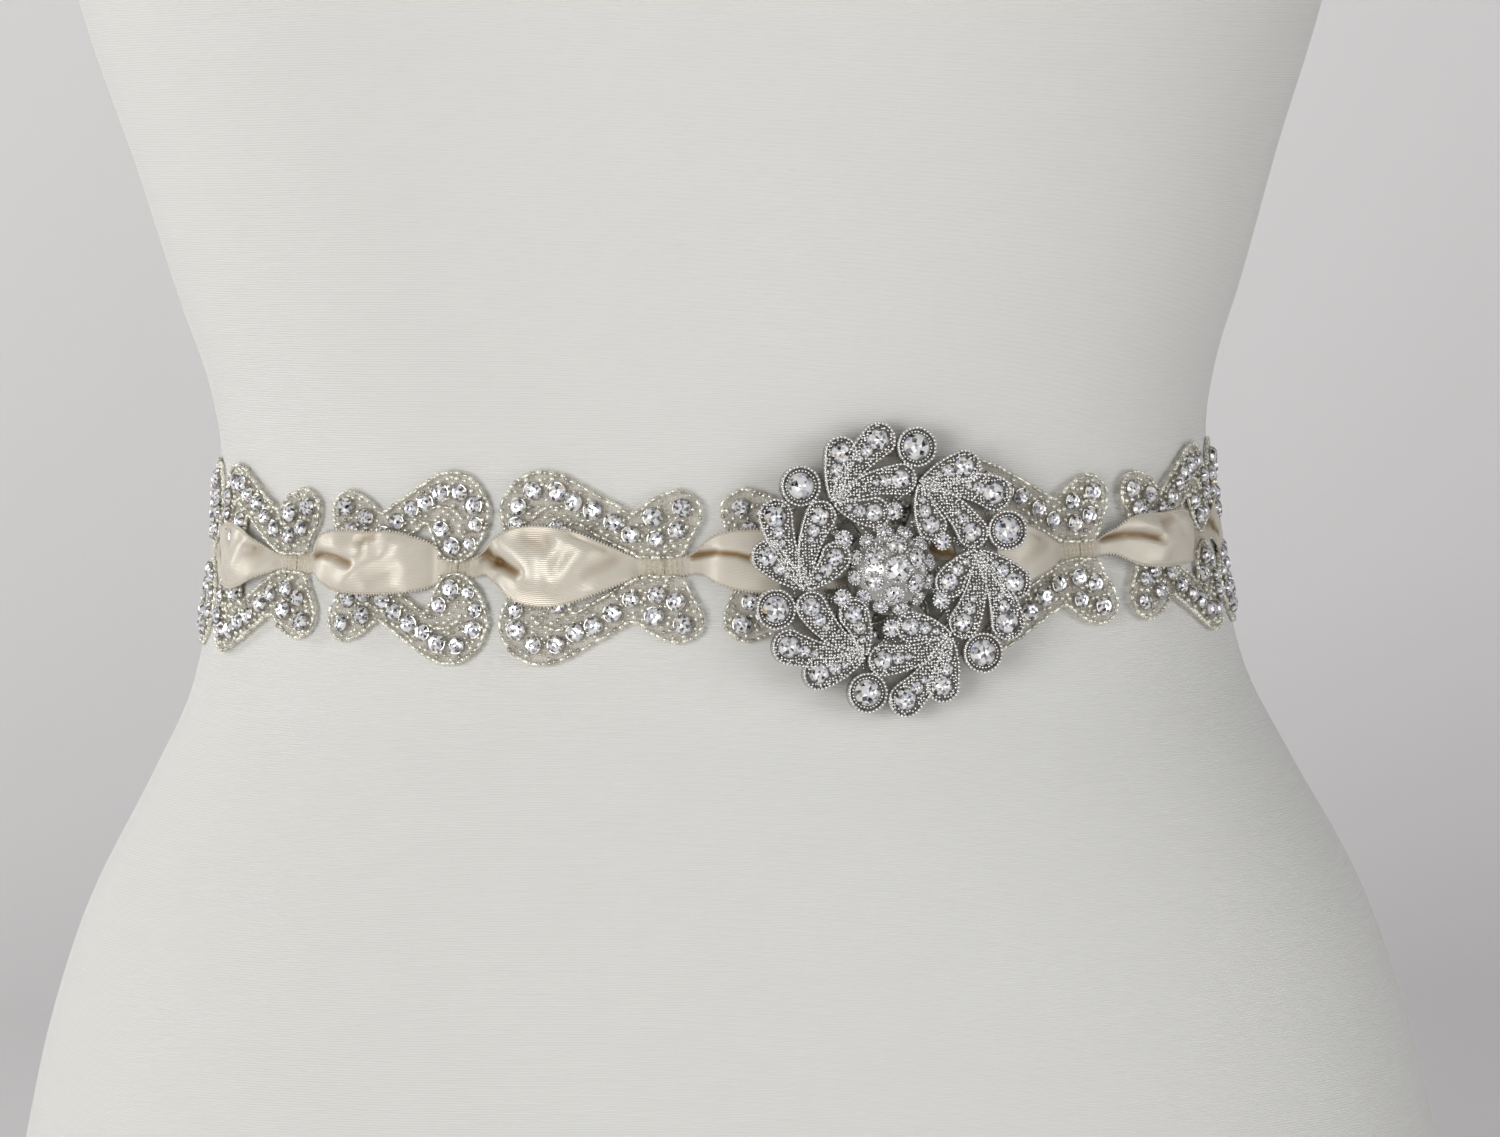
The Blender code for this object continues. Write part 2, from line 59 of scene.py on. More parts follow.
# The dress form, as the frame has it
WAIST_HEIGHT = 300.0
FORM_SECTIONS = (
    # height above the waist, half width, front depth, back depth, squareness
    (-300, 160, 100, 118, 2.3),
    (-260, 166, 104, 126, 2.3),
    (-215, 171, 106, 133, 2.3),
    (-170, 171, 106, 134, 2.3),
    (-133, 163.7, 104, 128, 2.3),
    (-105, 157, 101, 119, 2.25),
    (-77, 147, 97, 108, 2.2),
    (-49, 132, 92, 97, 2.15),
    (-31, 123, 88.5, 91.5, 2.1),
    (-11, 118, 85.5, 87.5, 2.1),
    (11, 115, 84, 85, 2.1),
    (27, 114, 84, 84.5, 2.1),
    (42, 116.5, 85.5, 85.5, 2.1),
    (60, 122.3, 89, 87, 2.1),
    (90, 131, 97.5, 89, 2.15),
    (127, 142.6, 110, 91, 2.2),
    (160, 149, 124, 92, 2.2),
    (190, 153, 132, 94, 2.2),
    (225, 156, 124, 96, 2.2),
    (260, 161, 110, 97, 2.2),
    (295, 168, 97, 96, 2.2),
    (318, 170, 84, 91, 2.2),
    (334, 158, 72, 83, 2.15),
    (346, 132, 62, 75, 2.1),
    (356, 102, 56, 67, 2.05),
    (366, 76, 52, 60, 2.0),
    (380, 60, 50, 55, 2.0),
    (400, 55, 49, 52, 2.0),
    (425, 54, 48, 50, 2.0),
)
BUST_RISE = 9.0
BUST_HEIGHT = 190.0
BUST_SPREAD = 46.0
BUST_ANGLE = 0.62
BUST_ANGLE_SPREAD = 0.34
END_ROUNDING = (
    # share of the full radius, how far in from the end
    (0.02, 0.0),
    (0.5, 0.0),
    (0.94, 0.0),
    (0.985, 0.4),
    (1.0, 1.6),
)

# How the sash lies on the form
SASH_UP = 3.0
HALF_REPEAT = 48.4
FIRST_LINE = -4
LAST_LINE = 4
MIDDLE_LINE_AT = -1.0
# Where the trim is eased or stretched a little: its own length from the front, and its place there
EASING = ((-194.6, -186.0), (-97.8, -92.5), (-49.4, -49.4), (95.8, 96.2), (144.2, 141.5), (192.6, 188.0))
TRIM_BACK = 1.6
TRIM_FRONT = 3.4

# Half of one motif of the trim: how far it is from the line between two bulbs, and how high
NET_EDGE = (
    (7.4, 0), (6.4, 2.3), (3.8, 5), (1.6, 8.8), (0.8, 12.5), (2.2, 16.2), (4.6, 19.4), (8, 21.3),
    (11.4, 21.8), (15.2, 21.1), (20.8, 18.1), (27.6, 14.3), (31.4, 12.4), (34.6, 14.8),
    (38, 16.5), (41.4, 17.2), (44.3, 16.1), (46.5, 13.4), (46.3, 9.5), (44.2, 6), (42.2, 2),
    (41.6, 0),
)  # fmt: skip
NET_WINDOW = (
    (13.2, 0), (15.2, 2.6), (16.6, 5.2), (17.2, 8.8), (20.6, 7.9), (26.0, 4.8), (31.8, 2.0),
    (33.8, 0),
)  # fmt: skip
BEAD_ROWS = (
    (
        (41.7, 2.6), (38.0, 2.1), (34.6, 2.0), (32.0, 2.6), (29.7, 3.7), (26.2, 5.5), (23.4, 7.1),
        (20.8, 8.6), (18.4, 9.9), (17.2, 9.2), (16.4, 6.8), (15.1, 4.2), (13.2, 2.2), (10.2, 1.3),
        (7.2, 2.3), (4.4, 5.2), (2.4, 8.6), (1.6, 12.4), (2.9, 16.1), (5.2, 18.9), (8.3, 20.6),
        (11.5, 21.0), (15.0, 20.3), (20.5, 17.5), (27.3, 13.7), (31.4, 11.8), (34.9, 14.2),
        (38.2, 15.9), (41.3, 16.5), (43.9, 15.4), (45.8, 13.1), (45.6, 9.6), (43.6, 6.2),
    ),
    ((17.2, 12.6), (14.6, 13.5), (11.8, 13.1), (9.6, 11.9), (8.6, 10.2)),
)  # fmt: skip
STONES = (
    # along, up, radius
    (5.3, 13.4, 1.95), (9.1, 16.9, 1.95), (14.4, 16.5, 2.0), (18.5, 14.3, 1.95), (22.5, 12.6, 1.9),
    (26.6, 9.9, 1.9), (30.5, 7.2, 1.85), (35.9, 10.8, 2.0), (42.0, 12.8, 2.0), (40.4, 7.8, 1.95),
    (36.2, 6.0, 1.85), (5.0, 9.4, 1.6), (6.8, 5.4, 1.5), (11.4, 4.6, 1.9), (14.4, 8.2, 1.9),
)  # fmt: skip
NET_CUT_EVERY = 3.4

# The ribbon from one window to the next, measured from the line that it comes up at
RIBBON_FROM_BULBS = (
    # along, top, bottom, edge off the form, middle off the form
    (-9.85, 2.0, -2.0, 0.8, 0.8),
    (-6.6, 2.1, -2.0, 0.8, 0.8),
    (-4.6, 2.8, -1.8, 1.3, 1.4),
    (-2.0, 4.4, -1.2, 2.7, 2.9),
    (1.0, 6.6, -3.0, 4.1, 4.4),
    (4.5, 8.5, -6.6, 4.4, 5.3),
    (9.0, 9.3, -8.2, 4.4, 6.0),
    (14.0, 9.0, -8.4, 4.4, 6.4),
    (19.0, 7.9, -7.2, 4.4, 6.2),
    (23.0, 6.2, -5.7, 4.3, 5.4),
    (26.2, 4.7, -4.4, 3.4, 4.0),
    (29.5, 3.0, -3.0, 2.0, 2.2),
    (32.4, 1.8, -1.8, 0.9, 0.9),
    (34.6, 1.9, -1.9, 0.8, 0.8),
    (37.85, 2.0, -2.0, 0.8, 0.8),
)
RIBBON_FROM_LOBES = (
    # along, top, bottom, edge off the form, middle off the form
    (-10.25, 2.0, -2.0, 0.8, 0.8),
    (-6.8, 2.0, -2.0, 0.8, 0.8),
    (-4.8, 2.5, -1.6, 1.3, 1.3),
    (-2.4, 4.2, -1.6, 2.9, 3.0),
    (0.6, 6.5, -3.4, 4.2, 4.4),
    (4.0, 7.6, -5.0, 4.4, 5.2),
    (8.0, 7.8, -5.8, 4.4, 5.8),
    (14.0, 7.6, -6.2, 4.4, 6.2),
    (19.0, 7.8, -6.0, 4.4, 6.3),
    (23.5, 7.7, -5.8, 4.4, 6.0),
    (26.5, 7.0, -5.4, 3.9, 4.8),
    (29.0, 6.2, -4.9, 2.5, 3.0),
    (31.2, 5.2, -4.2, 1.0, 1.2),
    (34.5, 3.2, -2.7, 0.8, 0.8),
    (38.25, 2.0, -2.0, 0.8, 0.8),
)
FOLDS_FROM_BULBS = (
    # half width, rise, then places along and up that the fold runs through
    (1.6, -2.6, (-3.0, 3.6), (-0.9, 3.4), (1.3, 1.8)),
    (1.1, -2.6, (1.3, 1.8), (5.4, -0.5)),
    (2.4, 1.0, (2.6, 4.7), (6.2, 3.0), (8.0, 0.9), (8.8, -1.2)),
    (2.5, -1.0, (8.8, 6.4), (11.1, 5.8), (13.0, 3.9)),
    (2.0, 0.6, (15.0, 5.1), (12.6, 1.4), (13.0, -2.4)),
    (1.7, -0.5, (17.2, 3.0), (15.0, -0.8)),
    (2.4, 0.9, (20.8, 3.9), (18.1, 0.1), (14.6, -2.9)),
    (2.2, -0.8, (20.8, -0.3), (26.1, 2.2)),
    (2.4, 0.5, (24.3, -4.2), (30.0, -1.2)),
    (0.6, -0.8, (18.1, 7.0), (25.2, 3.7)),
    (1.5, 0.6, (1.6, -1.6), (3.5, -5.4)),
    (2.6, -0.5, (7.1, -5.2), (13.7, -5.4)),
)
FOLDS_FROM_LOBES = (
    # half width, rise, then places along and up that the fold runs through
    (0.85, -2.8, (-4.4, 2.3), (0.6, 3.0), (5.3, 2.5), (10.4, 0.9)),
    (2.6, 0.5, (-0.6, 5.2), (3.6, 5.0)),
    (2.0, 0.8, (6.4, 4.6), (10.4, 3.2)),
    (1.3, -1.0, (13.2, 5.2), (17.2, 6.2)),
    (1.6, 0.5, (16.6, 4.6), (22.6, 6.6)),
    (2.2, -0.6, (12.0, 2.2), (19.0, 3.6)),
    (2.5, 1.1, (24.4, 4.2), (18.4, 1.4), (12.6, -0.9), (9.2, -3.8)),
    (2.6, -0.5, (14.6, -3.2), (22.0, 0.2)),
    (2.2, 0.3, (20.0, -4.2), (26.0, -1.2)),
)
# How far each window's ribbon is opened out, from the left
OPENED = (0.81, 0.81, 1.0, 1.0, 1.0, 1.0, 0.85, 0.81)


# The ribbon around the back, its knot and its two ends
BACK_RIBBON = (
    # share of the way to the knot, half height, off the form
    (0.0, 3.0, 0.8),
    (0.05, 3.0, 0.8),
    (0.08, 3.3, 1.3),
    (0.12, 4.4, 2.0),
    (0.17, 6.4, 2.2),
    (0.24, 8.8, 2.0),
    (0.34, 10.6, 1.8),
    (0.46, 11.2, 1.7),
    (0.58, 11.2, 1.7),
    (0.7, 10.8, 1.8),
    (0.8, 10.0, 1.9),
    (0.88, 8.6, 2.1),
    (0.95, 6.8, 2.5),
    (1.0, 5.8, 2.8),
)
KNOT_SIZE = (17.0, 11.0, 21.0)
KNOT_OFF_FORM = 6.6
TAILS = (
    # name, height where it starts, middle there, middle at its end, half width, height of its end
    ("ribbon_tail_left", -11.6, -5.2, -26.0, 10.6, -248),
    ("ribbon_tail_right", -11.6, 5.2, 22.0, 10.6, -226),
)
TAIL_GATHERED = 4.4
TAIL_SLANT = 9.0

# The brooch, in its own plane
BROOCH_AT = 36.9
BROOCH_UP = -1.9
BROOCH_OFF_FORM = 4.8
BROOCH_LEAN_BACK = 0.6
BROOCH_REPEATS = 6
PLATE_THICK = 1.4
SPRAY_ROOT = (19.5, 128.0)
LEAVES = (
    # head radius from the centre, its angle, head size, bend of its spine, how much it is raised
    (27.7, 112.0, 3.65, 1.2, 0.0),
    (28.3, 94.0, 3.85, 2.0, 0.1),
    (19.7, 82.2, 3.5, 2.2, 0.3),
    (13.0, 106.0, 3.4, -1.4, 0.7),
)
LEAF_ROOT_SIZE = 1.1
COLLET_AT = (27.2, 76.2)
COLLET_RADIUS = 4.5
LEAF_STONES = (1.35, 0.8)
STEM = ((19.5, 128.0), (16.5, 140.0), (12.5, 150.0), (9.6, 158.0))
FLOWER_STONES = (
    # how many, from the middle, angle of the first, radius
    (1, 0.0, 0.0, 2.5),
    (6, 5.2, 25.0, 1.8),
    (12, 8.4, 10.0, 1.25),
)
STEM_STONE = (12.7, 146.5, 1.55)
FLOWER_PROFILE = (
    # radius, height
    (0.0, 6.4),
    (2.6, 6.1),
    (5.2, 4.6),
    (7.4, 3.0),
    (8.9, 1.4),
    (9.1, 0.2),
)


def linear(colour):
    """The linear value of an sRGB hex colour."""
    channels = [int(colour[at : at + 2], 16) / 255 for at in (1, 3, 5)]
    return tuple(c / 12.92 if c <= 0.04045 else ((c + 0.055) / 1.055) ** 2.4 for c in channels)


def colour_setting(name, description, default):
    return FloatVectorProperty(
        name=name, description=description, subtype="COLOR", min=0, max=1, default=linear(default)
    )


def size_setting(name, description, millimetres):
    return FloatProperty(
        name=name,
        description=description,
        unit="LENGTH",
        subtype="DISTANCE",
        precision=5,
        default=millimetres * MM,
    )


class FormSettings(bpy.types.PropertyGroup):
    jersey: colour_setting("Jersey", "Colour of the knit cover", "#E9E9E6")
    rib_pitch: size_setting("Rib pitch", "Distance between the cover's knit ribs", 0.55)
    sides: IntProperty(name="Sides", description="Faces around the form", default=240, min=24)
    rings: IntProperty(name="Rings", description="Faces from base to neck", default=260, min=24)


class TrimSettings(bpy.types.PropertyGroup):
    net: colour_setting("Net", "Colour of the net under the beads", "#D9CEB9")
    glass: colour_setting("Beads", "Colour of the silver-lined glass beads", "#F7EFDD")
    crystal: colour_setting("Stones", "Colour of the foil-backed stones", "#FFFFFF")
    foil: colour_setting("Cups", "Colour of the plated cups", "#C9C6C0")
    bead_length: size_setting("Bead length", "Length of one bead along its row", 1.25)
    bead_width: size_setting("Bead width", "Diameter of one bead", 1.0)
    bead_pitch: size_setting("Bead pitch", "Distance from bead to bead", 1.38)
    net_cell: size_setting("Net cell", "Width of one hole of the net", 1.1)


class RibbonSettings(bpy.types.PropertyGroup):
    satin: colour_setting("Satin", "Colour of the satin ribbon", "#E7E0D1")
    # Painted shade: this colour is mixed into the satin deep in its folds and creases, where shade falls
    fold_shade_colour: colour_setting("Fold", "Colour deep in the ribbon's folds", "#8F7040")
    thickness: size_setting("Thickness", "Thickness of the ribbon", 0.3)
    width: size_setting("Width", "Width the ribbon is woven at", 24)
    thread_pitch: size_setting("Thread pitch", "Distance between the satin's threads", 0.6)


class BroochSettings(bpy.types.PropertyGroup):
    silver: colour_setting("Silver", "Colour of the plated casting", "#F8F8F7")
    recess_colour: colour_setting("Recess", "Colour in the casting's dark recesses", "#686255")
    grain: size_setting("Grain", "Diameter of one grain of the beaded rims", 0.62)
    grain_pitch: size_setting("Grain pitch", "Distance from grain to grain", 0.78)


class StageSettings(bpy.types.PropertyGroup):
    backdrop: colour_setting("Backdrop", "Colour of the floor and backdrop", "#E2E0E1")
    distance: size_setting("Distance", "Camera to the middle of the waist", 1300)
    elevation: FloatProperty(
        name="Elevation",
        description="Camera height above the waist, as an angle",
        subtype="ANGLE",
        default=math.radians(4.5),
    )
    roll: FloatProperty(
        name="Roll",
        description="How far the camera leans to its side",
        subtype="ANGLE",
        default=math.radians(-1.2),
    )


SETTINGS = {
    "sash_form": FormSettings,
    "sash_trim": TrimSettings,
    "sash_ribbon": RibbonSettings,
    "sash_brooch": BroochSettings,
    "sash_stage": StageSettings,
}


def read_table(table, at):
    """Each column of a table read at values of its first one, on a smooth curve through its rows."""
    rows = np.array(table, float)
    knots = rows[:, 0]
    values = rows[:, 1:]
    slopes = np.gradient(values, knots, axis=0)
    at = np.clip(np.asarray(at, float), knots[0], knots[-1])
    row = np.clip(np.searchsorted(knots, at, side="right") - 1, 0, len(knots) - 2)
    step = (knots[row + 1] - knots[row])[..., None]
    part = (at - knots[row])[..., None] / step
    rest = 1 - part
    return (
        (1 + 2 * part) * rest**2 * values[row]
        + part * rest**2 * step * slopes[row]
        + part**2 * (3 - 2 * part) * values[row + 1]
        - part**2 * rest * step * slopes[row + 1]
    )


def softened(grid, passes):
    """A grid of values with its steps and creases smoothed out."""
    for _ in range(passes):
        for axis in range(2):
            spread = [(1, 1) if number == axis else (0, 0) for number in range(2)]
            wide = np.moveaxis(np.pad(grid, spread, mode="edge"), axis, 0)
            grid = np.moveaxis((wide[:-2] + 2 * wide[1:-1] + wide[2:]) / 4, 0, axis)
    return grid


def form_radius(angle, height):
    """How far the form's surface is from its axis. The angle is 0 in front and grows towards +X."""
    width, front, back, power = np.moveaxis(read_table(FORM_SECTIONS, height), -1, 0)
    depth = np.where(np.cos(angle) > 0, front, back)
    across = np.abs(np.sin(angle) / width) ** power
    along = np.abs(np.cos(angle) / depth) ** power
    bust = np.exp(-(((height - BUST_HEIGHT) / BUST_SPREAD) ** 2))
    sides = np.exp(-(((np.abs(angle) - BUST_ANGLE) / BUST_ANGLE_SPREAD) ** 2))
    return (across + along) ** (-1 / power) + BUST_RISE * bust * sides


def skin(angle, height):
    angle, height = np.broadcast_arrays(angle, height)
    radius = form_radius(angle, height)
    return np.stack(
        [radius * np.sin(angle), -radius * np.cos(angle), height + WAIST_HEIGHT], axis=-1
    )


def unit(vectors):
    return vectors / np.linalg.norm(vectors, axis=-1, keepdims=True)


def off_form(angle, height, out):
    """Points this far out from the form's surface, along its normal, and those normals."""
    angle, height, out = np.broadcast_arrays(
        *(np.asarray(value, float) for value in (angle, height, out))
    )
    around = skin(angle + 1e-4, height) - skin(angle - 1e-4, height)
    up = skin(angle, height + 0.01) - skin(angle, height - 0.01)
    normal = unit(np.cross(around, up))
    return skin(angle, height) + normal * out[..., None], normal


GUIDE_ANGLES = np.linspace(0, math.pi, 721)
GUIDE = off_form(GUIDE_ANGLES, 0, (TRIM_BACK + TRIM_FRONT) / 2)[0][:, :2]
GUIDE_LENGTHS = np.append(0, np.cumsum(np.linalg.norm(np.diff(GUIDE, axis=0), axis=1)))
HALF_GIRTH = GUIDE_LENGTHS[-1]


def at_side(along):
    """1 at the form's two sides, where the sash is pulled closer, and 0 in front and behind."""
    way = np.abs(along)
    share = np.clip((way - 105) / 50, 0, 1) * np.clip((215 - way) / 20, 0, 1)
    return share**2 * (3 - 2 * share)


def sash_place(along, up, out):
    """A place on the sash: its way around from the front, its height on the band and off the form."""
    own, eased = zip((-HALF_GIRTH, -HALF_GIRTH), *EASING, (HALF_GIRTH, HALF_GIRTH))
    along = np.interp(along, own, eased)
    out = out * (1 - 0.7 * at_side(along))
    angle = np.sign(along) * np.interp(np.abs(along), GUIDE_LENGTHS, GUIDE_ANGLES)
    return off_form(angle, SASH_UP + up, out)


def tangent_axes(normal, turn=0.0):
    """For each normal, three axes: one level along the surface and turned, one across it, the normal."""
    level = unit(np.cross((0, 0, 1.0), normal))
    upward = np.cross(normal, level)
    turn = np.asarray(turn)[..., None]
    first = np.cos(turn) * level + np.sin(turn) * upward
    return np.stack([first, np.cross(normal, first), normal], axis=-2)


def line_at(line):
    """The way around of a line where two motifs meet. Even lines are between lobes."""
    return MIDDLE_LINE_AT + line * HALF_REPEAT


def motif_along(line, along):
    """The way around of places on the motif after this line. On even lines its lobe comes first."""
    return line_at(line) + along if line % 2 else line_at(line + 1) - along


def smooth_path(points, closed=False):
    """A smooth curve through points, many to each stretch."""
    points = np.array(points, float)
    around = [points[-1], *points, points[0], points[1]] if closed else None
    points = np.array(around) if closed else np.array(
        [2 * points[0] - points[1], *points, 2 * points[-1] - points[-2]]
    )
    part = np.linspace(0, 1, 12, endpoint=False)[:, None]
    path = []
    for a, b, c, d in zip(points, points[1:], points[2:], points[3:]):
        path.append(
            b
            + part * (c - a) / 2
            + part**2 * (2 * a - 5 * b + 4 * c - d) / 2
            + part**3 * (3 * b - a - 3 * c + d) / 2
        )
    path = np.concatenate(path)
    return path if closed else np.vstack([path, points[-2]])


def spaced(path, pitch, closed=False):
    """Places this far apart on a path, and the path's direction at each."""
    if closed:
        path = np.vstack([path, path[:1]])
    lengths = np.append(0, np.cumsum(np.linalg.norm(np.diff(path, axis=0), axis=1)))
    count = max(2, round(lengths[-1] / pitch))
    at = np.linspace(0, lengths[-1], count, endpoint=False) + lengths[-1] / count / 2
    read = [np.interp(at, lengths, column) for column in path.T]
    ahead = [np.interp(at + 0.02, lengths, column) for column in path.T]
    behind = [np.interp(at - 0.02, lengths, column) for column in path.T]
    return np.stack(read, axis=-1), unit(np.stack(ahead, axis=-1) - np.stack(behind, axis=-1))


def strung(path, lengths, gap=0.12):
    """Places for beads of these lengths, one after another, and the path's direction at each."""
    reach = np.append(0, np.cumsum(np.linalg.norm(np.diff(path, axis=0), axis=1)))
    ends = np.cumsum(lengths + gap)
    ends *= reach[-1] / ends[np.searchsorted(ends, reach[-1])]
    ends = ends[ends <= reach[-1] + 0.01]
    starts = np.append(0, ends[:-1])
    at = (starts + ends) / 2
    read = np.stack([np.interp(at, reach, column) for column in path.T], axis=-1)
    ahead = np.stack([np.interp(ends, reach, column) for column in path.T], axis=-1)
    behind = np.stack([np.interp(starts, reach, column) for column in path.T], axis=-1)
    return read, unit(ahead - behind), ends - starts - gap


def inside(places, outline):
    """Whether flat places lie inside a closed outline."""
    x, y = places[:, 0, None], places[:, 1, None]
    ahead = np.roll(outline, -1, axis=0)
    over = (outline[:, 1] > y) != (ahead[:, 1] > y)
    rise = np.where(ahead[:, 1] == outline[:, 1], 1e-9, ahead[:, 1] - outline[:, 1])
    crossing = outline[:, 0] + (y - outline[:, 1]) / rise * (ahead[:, 0] - outline[:, 0])
    return (over & (x < crossing)).sum(axis=1) % 2 == 1


def turned(profile, sides, axis=2):
    """Points and faces of a profile (radius, height) turned about an axis, closed at its ends."""
    angles = np.arange(sides) * 2 * math.pi / sides
    points = []
    for radius, height in profile:
        for angle in angles:
            point = [radius * math.cos(angle), radius * math.sin(angle)]
            point.insert(axis, height)
            points.append(point)
    faces = []
    for row in range(len(profile) - 1):
        for side in range(sides):
            after = (side + 1) % sides
            low = row * sides
            faces.append((low + side, low + after, low + sides + after, low + sides + side))
    faces.append(tuple(range(sides))[::-1])
    faces.append(tuple(range((len(profile) - 1) * sides, len(profile) * sides)))
    return np.array(points), faces


def bead_shape():
    """A barrel along its first axis, one unit long and wide."""
    profile = ((0.3, -0.5), (0.47, -0.34), (0.5, 0.0), (0.47, 0.34), (0.3, 0.5))
    points, faces = turned(profile, 8)
    return points[:, [2, 0, 1]], faces


def grain_shape():
    """A small round grain, one unit wide."""
    return turned(((0.2, -0.45), (0.48, -0.15), (0.48, 0.15), (0.2, 0.45)), 6)


def picot_loop():
    """A small loop of thread, one unit wide."""
    return turned(((0.25, -0.42), (0.5, 0.0), (0.25, 0.42)), 6)


def cut_stone():
    """A round cut stone of radius 1: table, star, kite and girdle facets over a short drum."""
    rings = (
        # points, first angle, radius, height
        (1, 0.0, 0.0, 0.86),
        (8, 0.0, 0.30, 0.81),
        (8, 22.5, 0.60, 0.84),
        (16, 0.0, 0.80, 0.66),
        (16, 11.25, 1.0, 0.34),
        (16, 11.25, 0.94, 0.0),
    )
    points = []
    for count, first, radius, height in rings:
        for step in range(count):
            angle = math.radians(first + 360 / count * step)
            points.append((radius * math.cos(angle), radius * math.sin(angle), height))
    star, table, kite, girdle, base = 1, 9, 17, 33, 49
    faces = []
    for i in range(8):
        j = (i + 1) % 8
        faces.append((0, star + i, star + j))
        faces.append((star + i, table + i, star + j))
        faces.append((star + j, table + i, table + j))
        faces.append((table + i, kite + 2 * i, kite + 2 * i + 1))
        faces.append((table + i, kite + 2 * i + 1, kite + (2 * i + 2) % 16))
        faces.append((table + i, kite + (2 * i + 2) % 16, table + j))
    for i in range(16):
        j = (i + 1) % 16
        faces.append((kite + j, kite + i, girdle + i))
        faces.append((girdle + i, girdle + j, kite + j))
        faces.append((girdle + j, girdle + i, base + i, base + j))
    faces.append(tuple(base + i for i in range(16))[::-1])
    return np.array(points), faces


def facet_tones(chance, count):
    """Painted reflections for each facet of each stone: light and dark run out from the middle, as a cut
    stone's reflections do, and a few facets are tinted.
    """
    points, faces = cut_stone()
    middles = np.array([points[list(face)].mean(axis=0) for face in faces])
    around = np.arctan2(middles[:, 1], middles[:, 0])
    folds = chance.integers(3, 8, (count, 1))
    start = chance.uniform(0, 2 * math.pi, (count, 1))
    tones = 0.6 + 0.36 * np.sin(folds * around + start) + chance.normal(0, 0.17, (count, len(faces)))
    tones = np.clip(tones, 0, 1) * 0.92
    tinted = chance.uniform(0, 1, tones.shape) < 0.035
    return np.where(tinted, chance.uniform(0.93, 1, tones.shape), tones).ravel()


def claw_cup():
    """A cup for a sewn-on stone of radius 1, with four claws."""
    points, faces = turned(((0.9, 0.0), (1.06, 0.05), (1.1, 0.42), (0.99, 0.44)), 14)
    points = list(points)
    for corner in range(4):
        angle = math.radians(45 + 90 * corner)
        out = np.array((math.cos(angle), math.sin(angle), 0))
        side = np.array((-math.sin(angle), math.cos(angle), 0))
        first = len(points)
        for radius, half, height in ((1.14, 0.16, 0.2), (1.12, 0.15, 0.62), (0.78, 0.09, 0.88)):
            points.append(out * radius + side * half + np.array((0, 0, height)))
            points.append(out * radius - side * half + np.array((0, 0, height)))
        points.append(out * 0.9 + np.array((0, 0, 0.1)))
        inner = first + 6
        faces += [
            (first, first + 1, first + 3, first + 2),
            (first + 2, first + 3, first + 5, first + 4),
            (first + 4, first + 5, inner),
            (first, first + 2, inner),
            (first + 2, first + 4, inner),
            (first + 3, first + 1, inner),
            (first + 5, first + 3, inner),
            (first + 1, first, inner),
        ]
    return np.array(points), faces


def copies(shape, places, axes, sizes):
    """One shape at many places, each with its own axes and its own size along them."""
    points, faces = shape
    places = np.asarray(places, float)
    sizes = np.broadcast_to(np.asarray(sizes, float).reshape(-1, 1) if np.ndim(sizes) == 1
                            else np.asarray(sizes, float), (len(places), 3))
    moved = places[:, None] + np.einsum("pk,nk,nkc->npc", points, sizes, axes)
    count = len(points)
    all_faces = [tuple(at + count * n for at in face) for n in range(len(places)) for face in faces]
    return moved.reshape(-1, 3), all_faces


def joined(*parts):
    """Several (points, faces) as one."""
    points = []
    faces = []
    start = 0
    for some, these in parts:
        points.append(some)
        faces += [tuple(at + start for at in face) for face in these]
        start += len(some)
    return np.concatenate(points), faces


def new_piece(name, points, faces, look, slot, smooth=True, places=None, **values):
    """A mesh object from points in millimetres, riding on the frame. Values are kept per point or face."""
    mesh = bpy.data.meshes.new(name)
    mesh.from_pydata((np.asarray(points) * MM).tolist(), [], [tuple(face) for face in faces])
    mesh.polygons.foreach_set("use_smooth", np.full(len(mesh.polygons), smooth))
    if places is not None:
        corners = np.empty(len(mesh.loops), np.int32)
        mesh.loops.foreach_get("vertex_index", corners)
        layer = mesh.uv_layers.new(name="Cloth")
        layer.data.foreach_set("uv", (np.asarray(places)[corners] * MM).astype(np.float32).ravel())
    for key, numbers in values.items():
        domain = "POINT" if len(numbers) == len(points) else "FACE"
        held = mesh.attributes.new(key, "FLOAT", domain)
        held.data.foreach_set("value", np.asarray(numbers, np.float32))
    mesh.materials.append(look)
    made = bpy.data.objects.new(name, mesh)
    bpy.context.scene.collection.objects.link(made)
    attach(made, BODY)
    return made


def grid_faces(rows, columns, round_the_sides=False):
    """Faces of a grid of points, rows first."""
    wide = columns if round_the_sides else columns - 1
    row, column = np.meshgrid(np.arange(rows - 1), np.arange(wide), indexing="ij")
    after = (column + 1) % columns
    first = row * columns
    quads = [first + column, first + after, first + columns + after, first + columns + column]
    return np.stack(quads, axis=-1).reshape(-1, 4).tolist()


def add_node(tree, kind, inputs=None, **settings):
    """A node with its settings, and each input given a value or linked from an output."""
    made = tree.nodes.new(kind)
    for key, value in settings.items():
        setattr(made, key, value)
    for key, value in (inputs or {}).items():
        if isinstance(value, bpy.types.NodeSocket):
            tree.links.new(value, made.inputs[key])
        else:
            made.inputs[key].default_value = value
    return made


def new_material(name, **sockets):
    """A material with a Principled shader and its values. Returns its tree and shader too."""
    made = bpy.data.materials.new(name)
    made.use_nodes = True
    shader = made.node_tree.nodes["Principled BSDF"]
    for key, value in sockets.items():
        shader.inputs[key.replace("_", " ")].default_value = value
    return made, made.node_tree, shader


def opaque(colour):
    return (*colour, 1.0)


def scaled(colour, factor):
    return (*(min(1.0, channel * factor) for channel in colour), 1.0)


def wave_scale(pitch):
    """The scale of a wave texture whose bands are this far apart, in metres."""
    return math.pi / 10 / pitch


